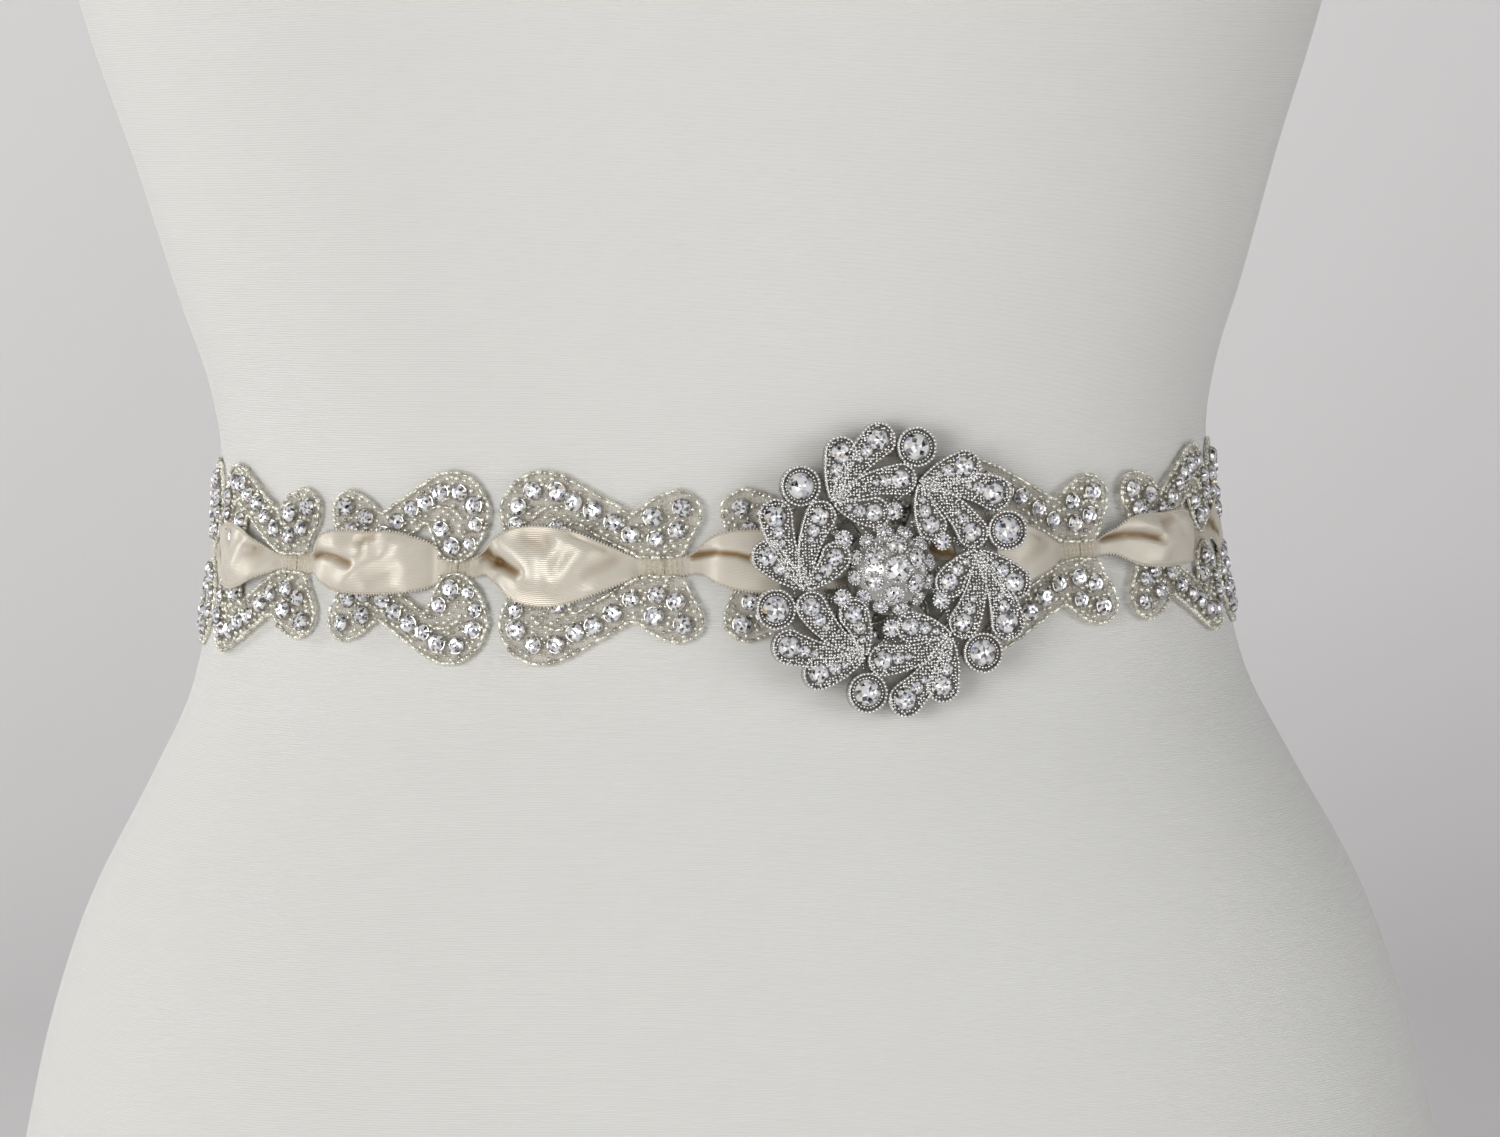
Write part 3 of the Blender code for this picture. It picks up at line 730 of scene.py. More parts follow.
def mixed(tree, share, first, second):
    """The colour between two, at a share from a socket."""
    mix = add_node(tree, "ShaderNodeMix", data_type="RGBA")
    for key, value in (("Factor_Float", share), ("A_Color", first), ("B_Color", second)):
        socket = next(s for s in mix.inputs if s.identifier == key)
        if isinstance(value, bpy.types.NodeSocket):
            tree.links.new(value, socket)
        else:
            socket.default_value = value
    return next(s for s in mix.outputs if s.identifier == "Result_Color")


def cotton_jersey(settings):
    """Cotton jersey pulled over foam: matt, with fine level ribs that waver, and faint shading."""
    made, tree, shader = new_material(
        "Cotton jersey, knitted", Roughness=0.92, Specular_IOR_Level=0.25, Sheen_Weight=0.25
    )
    place = add_node(tree, "ShaderNodeTexCoord").outputs["Object"]
    ribs = add_node(
        tree,
        "ShaderNodeTexWave",
        {"Vector": place, "Scale": wave_scale(settings.rib_pitch), "Distortion": 1.2,
         "Detail": 2.0, "Detail Scale": 0.12},
        wave_type="BANDS",
        bands_direction="Z",
    )
    blotch = add_node(
        tree, "ShaderNodeTexNoise", {"Vector": place, "Scale": 55.0, "Detail": 4.0}
    )
    dark = scaled(settings.jersey, 0.94)
    soft = mixed(tree, blotch.outputs["Fac"], scaled(settings.jersey, 0.95), opaque(settings.jersey))
    tree.links.new(mixed(tree, ribs.outputs["Fac"], dark, soft), shader.inputs["Base Color"])
    bump = add_node(
        tree,
        "ShaderNodeBump",
        {"Height": ribs.outputs["Fac"], "Strength": 0.5, "Distance": 0.0001},
    )
    tree.links.new(bump.outputs["Normal"], shader.inputs["Normal"])
    return made


def silk_satin(settings):
    """Woven satin: long threads lie side by side, so it shines softly and shows fine level lines."""
    made, tree, shader = new_material(
        "Satin ribbon, woven",
        Roughness=0.39,
        Metallic=0.3,
        Specular_IOR_Level=0.8,
        Sheen_Weight=0.15,
        Sheen_Roughness=0.4,
    )
    place = add_node(tree, "ShaderNodeUVMap", uv_map="Cloth").outputs["UV"]
    threads = add_node(
        tree,
        "ShaderNodeTexWave",
        {"Vector": place, "Scale": wave_scale(settings.thread_pitch), "Distortion": 1.5,
         "Detail": 2.0, "Detail Scale": 0.3},
        wave_type="BANDS",
        bands_direction="Y",
    )
    # Painted shade: the satin is mixed towards a dark gold in its folds, creases and hollows and along its
    # edges, where shade falls
    fold = add_node(tree, "ShaderNodeAttribute", attribute_name="fold").outputs["Fac"]
    cloth = mixed(
        tree, threads.outputs["Fac"], scaled(settings.satin, 0.85), scaled(settings.satin, 1.03)
    )
    tree.links.new(
        mixed(tree, fold, cloth, opaque(settings.fold_shade_colour)), shader.inputs["Base Color"]
    )
    bump = add_node(
        tree,
        "ShaderNodeBump",
        {"Height": threads.outputs["Fac"], "Strength": 0.5, "Distance": 0.00007},
    )
    tree.links.new(bump.outputs["Normal"], shader.inputs["Normal"])
    return made


def fine_net(settings):
    """Nylon net: thin threads around small holes, so most of what lies under it shows."""
    made, tree, shader = new_material(
        "Nylon net, knitted", Base_Color=opaque(settings.net), Roughness=0.5
    )
    place = add_node(tree, "ShaderNodeUVMap", uv_map="Cloth").outputs["UV"]
    cells = add_node(
        tree,
        "ShaderNodeTexVoronoi",
        {"Vector": place, "Scale": 1 / settings.net_cell, "Randomness": 0.25},
        feature="DISTANCE_TO_EDGE",
        voronoi_dimensions="2D",
    )
    thread = add_node(
        tree,
        "ShaderNodeMapRange",
        {"Value": cells.outputs["Distance"], "From Min": 0.08, "From Max": 0.16,
         "To Min": 0.5, "To Max": 0.12},
    )
    tree.links.new(thread.outputs["Result"], shader.inputs["Alpha"])
    return made


def lined_glass(settings):
    """Silver-lined glass beads: a bright lining behind clear glass, each bead a little different, the
    brightest painted light in place of the lining's glint.
    """
    made, tree, shader = new_material(
        "Silver-lined glass, pressed",
        Metallic=0.5,
        Roughness=0.12,
        Coat_Weight=1.0,
        Coat_Roughness=0.04,
    )
    tone = add_node(tree, "ShaderNodeAttribute", attribute_name="tone").outputs["Fac"]
    tree.links.new(
        mixed(tree, tone, scaled(settings.glass, 0.42), scaled(settings.glass, 1.2)),
        shader.inputs["Base Color"],
    )
    return made


def foiled_crystal(settings):
    """Cut glass over foil: each facet is painted with a reflection of a light or a dark part of the room,
    some tinted.
    """
    made, tree, shader = new_material(
        "Crystal, cut and foil-backed",
        Metallic=0.35,
        Roughness=0.07,
        Coat_Weight=1.0,
        Coat_Roughness=0.02,
    )
    tone = add_node(tree, "ShaderNodeAttribute", attribute_name="tone").outputs["Fac"]
    ramp = add_node(tree, "ShaderNodeValToRGB", {"Fac": tone})
    ramp.color_ramp.interpolation = "CONSTANT"
    # Painted reflections: dark, grey and white facets, and a few tinted ones
    stops = (
        (0.0, "#232326"),
        (0.10, "#5C5D61"),
        (0.21, "#9A9BA0"),
        (0.36, "#D5D8DE"),
        (0.50, "#FFFFFF"),
        (0.93, "#9DB0E6"),
        (0.96, "#BFAEE6"),
        (0.98, "#E8C79A"),
    )
    for number, (at, colour) in enumerate(stops):
        stop = ramp.color_ramp.elements[number] if number < 2 else ramp.color_ramp.elements.new(at)
        stop.position = at
        stop.color = opaque(linear(colour))
    tree.links.new(ramp.outputs["Color"], shader.inputs["Base Color"])
    return made


def plated_metal(name, bright, dark, roughness):
    """Rhodium plate, bright where the high value is near 1 and darker towards the recess colour where it
    is near 0, with a fine noise of wear.
    """
    made, tree, shader = new_material(name, Metallic=0.85, Roughness=roughness)
    high = add_node(tree, "ShaderNodeAttribute", attribute_name="high").outputs["Fac"]
    place = add_node(tree, "ShaderNodeTexCoord").outputs["Object"]
    wear = add_node(tree, "ShaderNodeTexNoise", {"Vector": place, "Scale": 900.0, "Detail": 3.0})
    worn = add_node(
        tree,
        "ShaderNodeMath",
        {0: wear.outputs["Fac"], 1: 0.35, 2: high},
        operation="MULTIPLY_ADD",
        use_clamp=True,
    )
    tree.links.new(mixed(tree, worn.outputs["Value"], dark, bright), shader.inputs["Base Color"])
    return made


class SASH_OT_form(bpy.types.Operator):
    """Make the dress form with its jersey cover"""

    bl_idname = "sash.form"
    bl_label = "Dress form"

    def execute(self, context):
        settings = context.scene.sash_form
        low, high = FORM_SECTIONS[0][0], FORM_SECTIONS[-1][0]
        shares = [share for share, _ in END_ROUNDING]
        insets = [inset for _, inset in END_ROUNDING]
        heights = np.concatenate([
            low + np.array(insets),
            np.linspace(low + insets[-1], high - insets[-1], settings.rings)[1:-1],
            (high - np.array(insets))[::-1],
        ])
        share = np.ones(len(heights))
        share[: len(shares)] = shares
        share[-len(shares) :] = shares[::-1]
        angles = np.linspace(-math.pi, math.pi, settings.sides, endpoint=False)
        points = skin(angles[None, :], heights[:, None])
        points[..., :2] *= share[:, None, None]
        faces = grid_faces(len(heights), settings.sides, True)
        faces.append(list(range(settings.sides))[::-1])
        last = (len(heights) - 1) * settings.sides
        faces.append(list(range(last, last + settings.sides)))
        cover = new_piece(
            "form_cover", points.reshape(-1, 3), faces, cotton_jersey(settings), "jersey"
        )
        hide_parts("dress_form")
        return {"FINISHED"}


def net_sheet(line):
    """The flat net of one motif cut into small faces, then laid on the form."""
    curve = bpy.data.curves.new("net outline", "CURVE")
    curve.dimensions = "2D"
    curve.fill_mode = "BOTH"
    for edge in (NET_EDGE, NET_WINDOW):
        loop = list(edge) + [(x, -y) for x, y in reversed(edge[1:-1])]
        spline = curve.splines.new("POLY")
        spline.points.add(len(loop) - 1)
        for point, (x, y) in zip(spline.points, loop):
            point.co = (x * MM, y * MM, 0, 1)
        spline.use_cyclic_u = True
    outline = bpy.data.objects.new("net outline", curve)
    bpy.context.scene.collection.objects.link(outline)
    graph = bpy.context.evaluated_depsgraph_get()
    mesh = bpy.data.meshes.new_from_object(outline.evaluated_get(graph))
    bpy.data.objects.remove(outline)
    shape = bmesh.new()
    shape.from_mesh(mesh)
    bpy.data.meshes.remove(mesh)
    bmesh.ops.remove_doubles(shape, verts=shape.verts, dist=1e-6)
    for axis, first, last in ((0, 0, 47), (1, -21, 21)):
        for at in np.arange(first, last, NET_CUT_EVERY):
            point = Vector((at * MM, 0, 0)) if axis == 0 else Vector((0, at * MM, 0))
            normal = Vector((1, 0, 0)) if axis == 0 else Vector((0, 1, 0))
            everything = shape.verts[:] + shape.edges[:] + shape.faces[:]
            bmesh.ops.bisect_plane(shape, geom=everything, plane_co=point, plane_no=normal)
    bmesh.ops.triangulate(shape, faces=shape.faces)
    shape.verts.index_update()
    flat = np.array([vertex.co for vertex in shape.verts]) / MM
    area = sum(face.calc_area() for face in shape.faces)
    faces = [tuple(vertex.index for vertex in face.verts) for face in shape.faces]
    shape.free()
    placed = sash_place(motif_along(line, flat[:, 0]), flat[:, 1], 1.5)[0]
    return placed, faces, flat[:, :2], area


def trim_axes(line, flat, direction, out, lean=None):
    """Places and axes on one motif for flat places and directions. Half -1 is the lower one."""
    side = 1 if line % 2 else -1
    along = motif_along(line, flat[:, 0])
    places, normal = sash_place(along, flat[:, 1], out)
    if lean is not None:
        normal = unit(normal + lean)
    turn = np.arctan2(direction[:, 1], side * direction[:, 0])
    return places, tangent_axes(normal, turn)


class SASH_OT_trim(bpy.types.Operator):
    """Make the beaded net trim: net, bead rows, and stones in claw cups"""

    bl_idname = "sash.trim"
    bl_label = "Beaded trim"

    def execute(self, context):
        settings = context.scene.sash_trim
        looks = {
            "net": fine_net(settings),
            "beads": lined_glass(settings),
            "stones": foiled_crystal(settings),
            "cups": plated_metal(
                "Rhodium plate, stamped", opaque(settings.foil), scaled(settings.foil, 0.25), 0.22
            ),
        }
        for number, line in enumerate(range(FIRST_LINE, LAST_LINE), start=1):
            self.motif(settings, looks, number, line)
        return {"FINISHED"}

    def motif(self, settings, looks, number, line):
        chance = np.random.default_rng(100 + number)
        points, faces, flat, area = net_sheet(line)
        net = new_piece(
            f"trim_net_{number}", points, faces, looks["net"], "beaded_net", places=flat
        )
        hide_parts(f"trim_motif_{number}")

        length, width = settings.bead_length / MM, settings.bead_width / MM
        shape = bead_shape()
        table = np.array(STONES, float)
        rows = []
        for half in (1, -1):
            mirror = np.array((1, half))
            for points, closed in zip(BEAD_ROWS, (True, False)):
                path = smooth_path(points, closed)
                kinds = chance.choice((0.8, 1.0, 1.25, 1.75), 400, p=(0.3, 0.35, 0.2, 0.15))
                row, direction, long = strung(path, length * kinds)
                row = row + chance.normal(0, 0.1, row.shape)
                out = TRIM_BACK + 0.45 + chance.normal(0, 0.1, len(row))
                places, axes = trim_axes(line, row * mirror, direction * mirror, out)
                wide = width * np.where(long > 1.5, 0.78, 1.0)
                wide = wide * chance.uniform(0.85, 1.1, len(row))
                rows.append(copies(shape, places, axes, np.stack([long, wide, wide], axis=-1)))
            seeds = self.seed_places(chance, table)
            angle = chance.uniform(0, math.pi, len(seeds))
            lying = np.stack([np.cos(angle), np.sin(angle)], axis=-1)
            places, axes = trim_axes(line, seeds * mirror, lying, TRIM_BACK + 0.35)
            rows.append(copies(shape, places, axes, chance.uniform(0.7, 1.1, len(seeds))))
        points, faces = joined(*rows)
        each = len(shape[1])
        # Each bead's own random brightness, partly a painted glint: the lightest beads stand in for the
        # sparkle of their lining
        tone = np.repeat(chance.beta(1.4, 0.7, len(faces) // each), each)
        beads = new_piece(
            f"trim_beads_{number}", points, faces, looks["beads"], "beaded_net", tone=tone
        )

        stones = []
        cups = []
        for half in (1, -1):
            mirror = np.array((1, half))
            flat = (table[:, :2] + chance.normal(0, 0.14, (len(table), 2))) * mirror
            angle = chance.uniform(0, 2 * math.pi, len(table))
            lying = np.stack([np.cos(angle), np.sin(angle)], axis=-1)
            lean = chance.normal(0, 0.06, (len(table), 3))
            places, axes = trim_axes(line, flat, lying, TRIM_BACK, lean)
            radius = table[:, 2] * chance.uniform(0.9, 1.02, len(table))
            stones.append(copies(cut_stone(), places + axes[:, 2] * 0.2, axes, radius))
            cups.append(copies(claw_cup(), places, axes, radius))
        points, faces = joined(*stones)
        set_stones = new_piece(
            f"trim_stones_{number}", points, faces, looks["stones"], "crystal", smooth=False,
            tone=facet_tones(chance, 2 * len(table)),
        )
        points, faces = joined(*cups)
        set_cups = new_piece(
            f"trim_cups_{number}", points, faces, looks["cups"], "silver", smooth=False,
            high=np.full(len(faces), 0.6),
        )


    def seed_places(self, chance, stones):
        """Loose beads in the room that the rows and stones leave."""
        edge = smooth_path(np.array(NET_EDGE[2:-2], float))
        window = smooth_path(np.array(NET_WINDOW, float))
        outline = np.concatenate([edge, window[::-1]])
        tries = chance.uniform((1, 2), (46, 20.5), (900, 2))
        tries = tries[inside(tries, outline)]
        kept = []
        row = np.concatenate([smooth_path(points) for points in BEAD_ROWS])
        for place in tries:
            from_stones = np.linalg.norm(stones[:, :2] - place, axis=1) - stones[:, 2]
            from_row = np.linalg.norm(row - place, axis=1).min()
            from_kept = min((np.linalg.norm(place - other) for other in kept), default=9)
            if from_stones.min() > 0.35 and from_row > 0.8 and from_kept > 1.05:
                if from_stones.min() < 2.6:
                    kept.append(place)
        return np.array(kept)


def beside(along, up, path, half):
    """How near places are to a fold's line, from 1 on it to 0 away from it."""
    place = np.stack([along, up], axis=-1)
    nearest = np.full(up.shape, np.inf)
    for first, last in zip(path, path[1:]):
        reach = last - first
        share = np.clip((place - first) @ reach / (reach @ reach), 0, 1)
        nearest = np.minimum(nearest, np.linalg.norm(place - first - share[..., None] * reach, axis=-1))
    return np.exp(-((nearest / half) ** 2))


def under_brooch(along):
    """1 where the brooch presses the ribbon flat, and 0 away from it."""
    return np.clip((44 - np.abs(along - BROOCH_AT)) / 8, 0, 1)


def cloth_piece(name, points, places, fold, settings, look):
    """A thin ribbon from a grid of points, with the flat place of each, and how much painted shade its
    folds get at each.
    """
    rows, columns = points.shape[:2]
    made = new_piece(
        name,
        points.reshape(-1, 3),
        grid_faces(rows, columns),
        look,
        "satin",
        places=places.reshape(-1, 2),
        fold=np.clip(fold, 0, 1).ravel(),
    )
    wall = made.modifiers.new("Wall", "SOLIDIFY")
    wall.thickness = settings.thickness
    wall.offset = 0
    return made


def picot_edge(name, edges, look):
    """Small loops of thread along a ribbon's woven edges."""
    parts = []
    for edge in edges:
        places, direction = spaced(edge, 0.72)
        side = unit(np.cross(direction, unit(places * (1, 1, 0))))
        axes = np.stack([direction, side, np.cross(direction, side)], axis=-2)
        parts.append(copies(picot_loop(), places, axes, np.tile((0.5, 1.0, 0.7), (len(places), 1))))
    points, faces = joined(*parts)
    return new_piece(name, points, faces, look, "satin", fold=np.zeros(len(faces)))


PUFF_ROWS = 130
PUFF_COLUMNS = 45
BACK_ROWS = 90
BACK_COLUMNS = 25


class SASH_OT_ribbon(bpy.types.Operator):
    """Make the satin ribbon where it is woven through the trim's windows"""

    bl_idname = "sash.ribbon"
    bl_label = "Woven ribbon"

    def execute(self, context):
        settings = context.scene.sash_ribbon
        look = silk_satin(settings)
        for number, line in enumerate(range(FIRST_LINE, LAST_LINE), start=1):
            self.puff(settings, look, number, line)
        return {"FINISHED"}

    def puff(self, settings, look, number, line):
        chance = np.random.default_rng(40 + number)
        table, folds = (
            (RIBBON_FROM_BULBS, FOLDS_FROM_BULBS) if line % 2
            else (RIBBON_FROM_LOBES, FOLDS_FROM_LOBES)
        )
        along = np.linspace(table[0][0], table[-1][0], PUFF_ROWS)[:, None]
        across = np.linspace(-1, 1, PUFF_COLUMNS)
        top, bottom, edge, middle = np.moveaxis(read_table(table, along), -1, 0)
        opened = OPENED[number - 1]
        up = ((top + bottom) / 2 + (top - bottom) / 2 * across) * opened
        bulge = (middle - edge) * (1 - across**2) ** 0.8
        relief = np.zeros_like(up)
        for half, rise, *path in folds:
            path = (np.array(path) + chance.uniform(-0.6, 0.6, 2)) * (1, opened)
            near = beside(along + 0 * up, up, path, half)
            ends = np.clip((1 - np.abs(across)) / 0.12, 0.25, 1)
            relief += rise * chance.uniform(0.85, 1.15) * near * ends
        flat_here = 1 - 0.85 * under_brooch(line_at(line) + along)
        out = edge + (bulge + relief) * flat_here
        flatter = at_side(line_at(line) + along)
        out = out - np.clip(out - 0.8, 0, None) * 0.35 * flatter
        open_window = (edge > 4.2) & (np.abs(up) > 2.4)
        out = softened(np.maximum(out, np.where(open_window, 3.4, 0.6)), 5)
        points = sash_place(line_at(line) + along + 0 * up, up, out)[0]
        places = np.stack([along + 0 * up, settings.width / MM / 2 * (across + 0 * up)], axis=-1)
        # Painted shade: the colour darkens in the hollows of the relief, where shade falls
        fold = -relief / 2.6
        # Painted shade: a thin darker line just inside each edge
        fold[:, (1, -2)] = np.maximum(fold[:, (1, -2)], 0.3)
        ribbon = cloth_piece(f"satin_window_{number}", points, places, fold, settings, look)
        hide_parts(f"ribbon_window_{number}")
        edges = picot_edge(f"satin_picots_{number}", [points[:, 0], points[:, -1]], look)


def back_angle(x, height):
    """The angle, from the front, of the place at this x on the form's back."""
    turned_by = np.zeros(np.broadcast(x, height).shape)
    for _ in range(6):
        turned_by = np.arcsin(np.clip(x / form_radius(math.pi - turned_by, height), -1, 1))
    return math.pi - turned_by


class SASH_OT_tie(bpy.types.Operator):
    """Make the ribbon around the back, its knot and its two ends"""

    bl_idname = "sash.tie"
    bl_label = "Tie at the back"

    def execute(self, context):
        settings = context.scene.sash_ribbon
        look = silk_satin(settings)
        self.back(settings, look, "left", -1)
        self.back(settings, look, "right", 1)
        self.knot(settings, look)
        for tail in TAILS:
            self.tail(settings, look, *tail)
        return {"FINISHED"}

    def back(self, settings, look, name, side):
        last = line_at(LAST_LINE) - 10.25 if side > 0 else line_at(FIRST_LINE) - 10.55
        end = side * (HALF_GIRTH - KNOT_SIZE[0] / 2 + 1.0)
        share = np.linspace(0, 1, BACK_ROWS)[:, None]
        half, out = np.moveaxis(read_table(BACK_RIBBON, share), -1, 0)
        across = np.linspace(-1, 1, BACK_COLUMNS)
        along = last + (end - last) * share
        opened = np.clip((share - 0.12) / 0.1, 0, 1)
        gathered = np.clip((share - 0.72) / 0.28, 0, 1) + np.clip((0.3 - share) / 0.2, 0, 1)
        waves = 0.35 * np.sin(2.5 * math.pi * across + 4 * share) * opened
        waves = waves + 0.7 * np.cos(4.2 * math.pi * across + 1.3 * side) * gathered * opened
        points = sash_place(along + 0 * across, half * across, out + waves)[0]
        places = np.stack([along + 0 * across, settings.width / MM / 2 * (across + 0 * along)], -1)
        # Painted shade: the satin darkens in the troughs of its waves, where shade falls
        ribbon = cloth_piece(
            f"satin_back_{name}", points, places, np.maximum(-waves, 0) * 0.25, settings, look
        )
        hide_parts(f"ribbon_back_{name}")
        edges = picot_edge(f"back_picots_{name}", [points[:, 0], points[:, -1]], look)

    def knot(self, settings, look):
        """A short band of ribbon wound over the crossing, creased along its length."""
        rows, sides = 34, 96
        share = np.linspace(-1, 1, rows)[:, None]
        turn = np.linspace(0, 2 * math.pi, sides, endpoint=False)
        wide, deep, tall = (size / 2 for size in KNOT_SIZE)
        squeeze = (1 - 0.9 * np.abs(share) ** 5) ** 0.5
        crease = 1 + 0.035 * np.sin(9 * turn + 2.6 * share) + 0.02 * np.sin(17 * turn - 3 * share)
        x = wide * np.sign(np.cos(turn)) * np.abs(np.cos(turn)) ** 0.85 * squeeze * crease
        out = deep * np.sign(np.sin(turn)) * np.abs(np.sin(turn)) ** 0.85 * squeeze * crease
        height = tall * share * (0.97 + 0.03 * np.cos(2 * turn))
        centre = off_form(math.pi, SASH_UP, KNOT_OFF_FORM)[0]
        points = centre + np.stack([x, out, height + 0 * turn], axis=-1)
        faces = [face[::-1] for face in grid_faces(rows, sides, True)]
        faces.append(list(range(sides)))
        faces.append(list(range((rows - 1) * sides, rows * sides))[::-1])
        places = np.stack([height + 0 * turn, (turn * wide) + 0 * height], axis=-1)
        # Painted shade: the satin darkens in the knot's creases, where shade falls
        crease_shade = np.clip((1 - crease) * 12, 0, 0.6)
        made = new_piece(
            "satin_knot", points.reshape(-1, 3), faces, look, "satin",
            places=places.reshape(-1, 2), fold=crease_shade.ravel(),
        )
        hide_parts("ribbon_knot")

    def tail(self, settings, look, name, top, start, end, half_width, bottom):
        share = np.linspace(0, 1, 150)[:, None]
        across = np.linspace(-1, 1, BACK_COLUMNS)
        opened = np.clip(share / 0.3, 0, 1)
        opened = opened**2 * (3 - 2 * opened)
        half = TAIL_GATHERED + (half_width - TAIL_GATHERED) * opened
        centre = start + (end - start) * share + math.copysign(6.2, start) * opened
        height = top + (bottom - top) * share + TAIL_SLANT * across * share**8
        x = centre + half * across
        out = 1.9 + 1.1 * np.sin(7 * share + 2.2 * across) * opened
        pleats = 0.9 * np.cos(3.6 * math.pi * across) * (1 - opened)
        out = np.maximum(out + pleats, 0.7)
        height = height + SASH_UP
        points = off_form(back_angle(x, height), height, out)[0]
        places = np.stack([height, half_width * (across + 0 * height)], axis=-1)
        # Painted shade: the satin darkens in the pleats where the tail is gathered, where shade falls
        made = cloth_piece(
            name.replace("ribbon", "satin"), points, places, np.maximum(-pleats, 0), settings, look
        )
        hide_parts(name)
        edges = picot_edge(
            name.replace("ribbon_tail", "tail_picots"), [points[:, 0], points[:, -1]], look
        )


def brooch_frame():
    """The brooch's centre and its right, up and outward directions, as rows."""
    centre, normal = sash_place(*(np.array(at) for at in (BROOCH_AT, BROOCH_UP, BROOCH_OFF_FORM)))
    normal = unit(normal + np.array((0, 0, math.tan(math.radians(BROOCH_LEAN_BACK)))))
    right = unit(np.cross((0, 0, 1.0), normal))
    return centre, np.stack([right, np.cross(normal, right), normal])


def polar(radius, degrees):
    angle = math.radians(degrees)
    return np.array((radius * math.cos(angle), radius * math.sin(angle)))


def leaf_outline(repeat, head_radius, head_angle, size, bend):
    """The closed outline of a leaf with a bent spine, that spine, and its half width there."""
    turn = 360 / BROOCH_REPEATS * repeat
    root = polar(SPRAY_ROOT[0], SPRAY_ROOT[1] + turn)
    head = polar(head_radius, head_angle + turn)
    reach = head - root
    aside = np.array((-reach[1], reach[0])) / np.linalg.norm(reach)
    middle = (root + head) / 2 + aside * bend
    share = np.linspace(0, 1, 15)[:, None]
    spine = (1 - share) ** 2 * root + 2 * share * (1 - share) * middle + share**2 * head
    ahead = unit(np.gradient(spine, axis=0))
    left = np.stack([-ahead[:, 1], ahead[:, 0]], axis=-1)
    wide = LEAF_ROOT_SIZE + (size - LEAF_ROOT_SIZE) * share**0.85
    facing = math.atan2(ahead[-1, 1], ahead[-1, 0])
    turns = facing + np.linspace(-0.5, 0.5, 13)[1:-1] * math.pi
    cap = head + size * np.stack([np.cos(turns), np.sin(turns)], axis=-1)
    outline = np.concatenate([spine - left * wide, cap, (spine + left * wide)[::-1]])
    return outline, spine, wide[:, 0]


def tray(outline, low, high, rim, floor):
    """A shallow dish over an outline: points, faces, and how bright its colour is at each point, darker at
    the bottom of its walls and on its floor.
    """
    centre = outline.mean(axis=0)
    away = outline - np.roll(outline, 1, axis=0)
    away = unit(away + np.roll(away, -1, axis=0) + 1e-9)
    inward = np.stack([-away[:, 1], away[:, 0]], axis=-1)
    inner = outline + inward * rim
    rings = ((outline, low), (outline, high - 0.15), (outline + inward * 0.15, high),
             (inner, high - 0.1), (inner + (centre - inner) * 0.02, floor))
    points = np.concatenate([np.column_stack([ring, np.full(len(ring), z)]) for ring, z in rings])
    sides = len(outline)
    faces = [tuple(face) for face in grid_faces(len(rings), sides, True)]
    faces.append(tuple(range(sides))[::-1])
    faces.append(tuple(range(4 * sides, 5 * sides)))
    return points, faces, np.repeat((0.0, 0.45, 0.3, 0.2, 0.0), sides)


def flat_axes(count, turn=None):
    """Axes that lie in the brooch's plane, turned by an angle each."""
    turn = np.zeros(count) if turn is None else turn
    first = np.stack([np.cos(turn), np.sin(turn), 0 * turn], axis=-1)
    out = np.tile((0, 0, 1.0), (count, 1))
    return np.stack([first, np.cross(out, first), out], axis=-2)


def dome_place(radius, degrees):
    """A place on the brooch's flower, and the direction straight out of it."""
    height = np.interp(radius, *zip(*FLOWER_PROFILE))
    slope = np.interp(radius + 0.4, *zip(*FLOWER_PROFILE)) - np.interp(
        max(radius - 0.4, 0), *zip(*FLOWER_PROFILE)
    )
    level = polar(radius, degrees)
    out = unit(np.array((*(-slope * polar(1, degrees)), 0.8)))
    return np.array((*level, height)), out


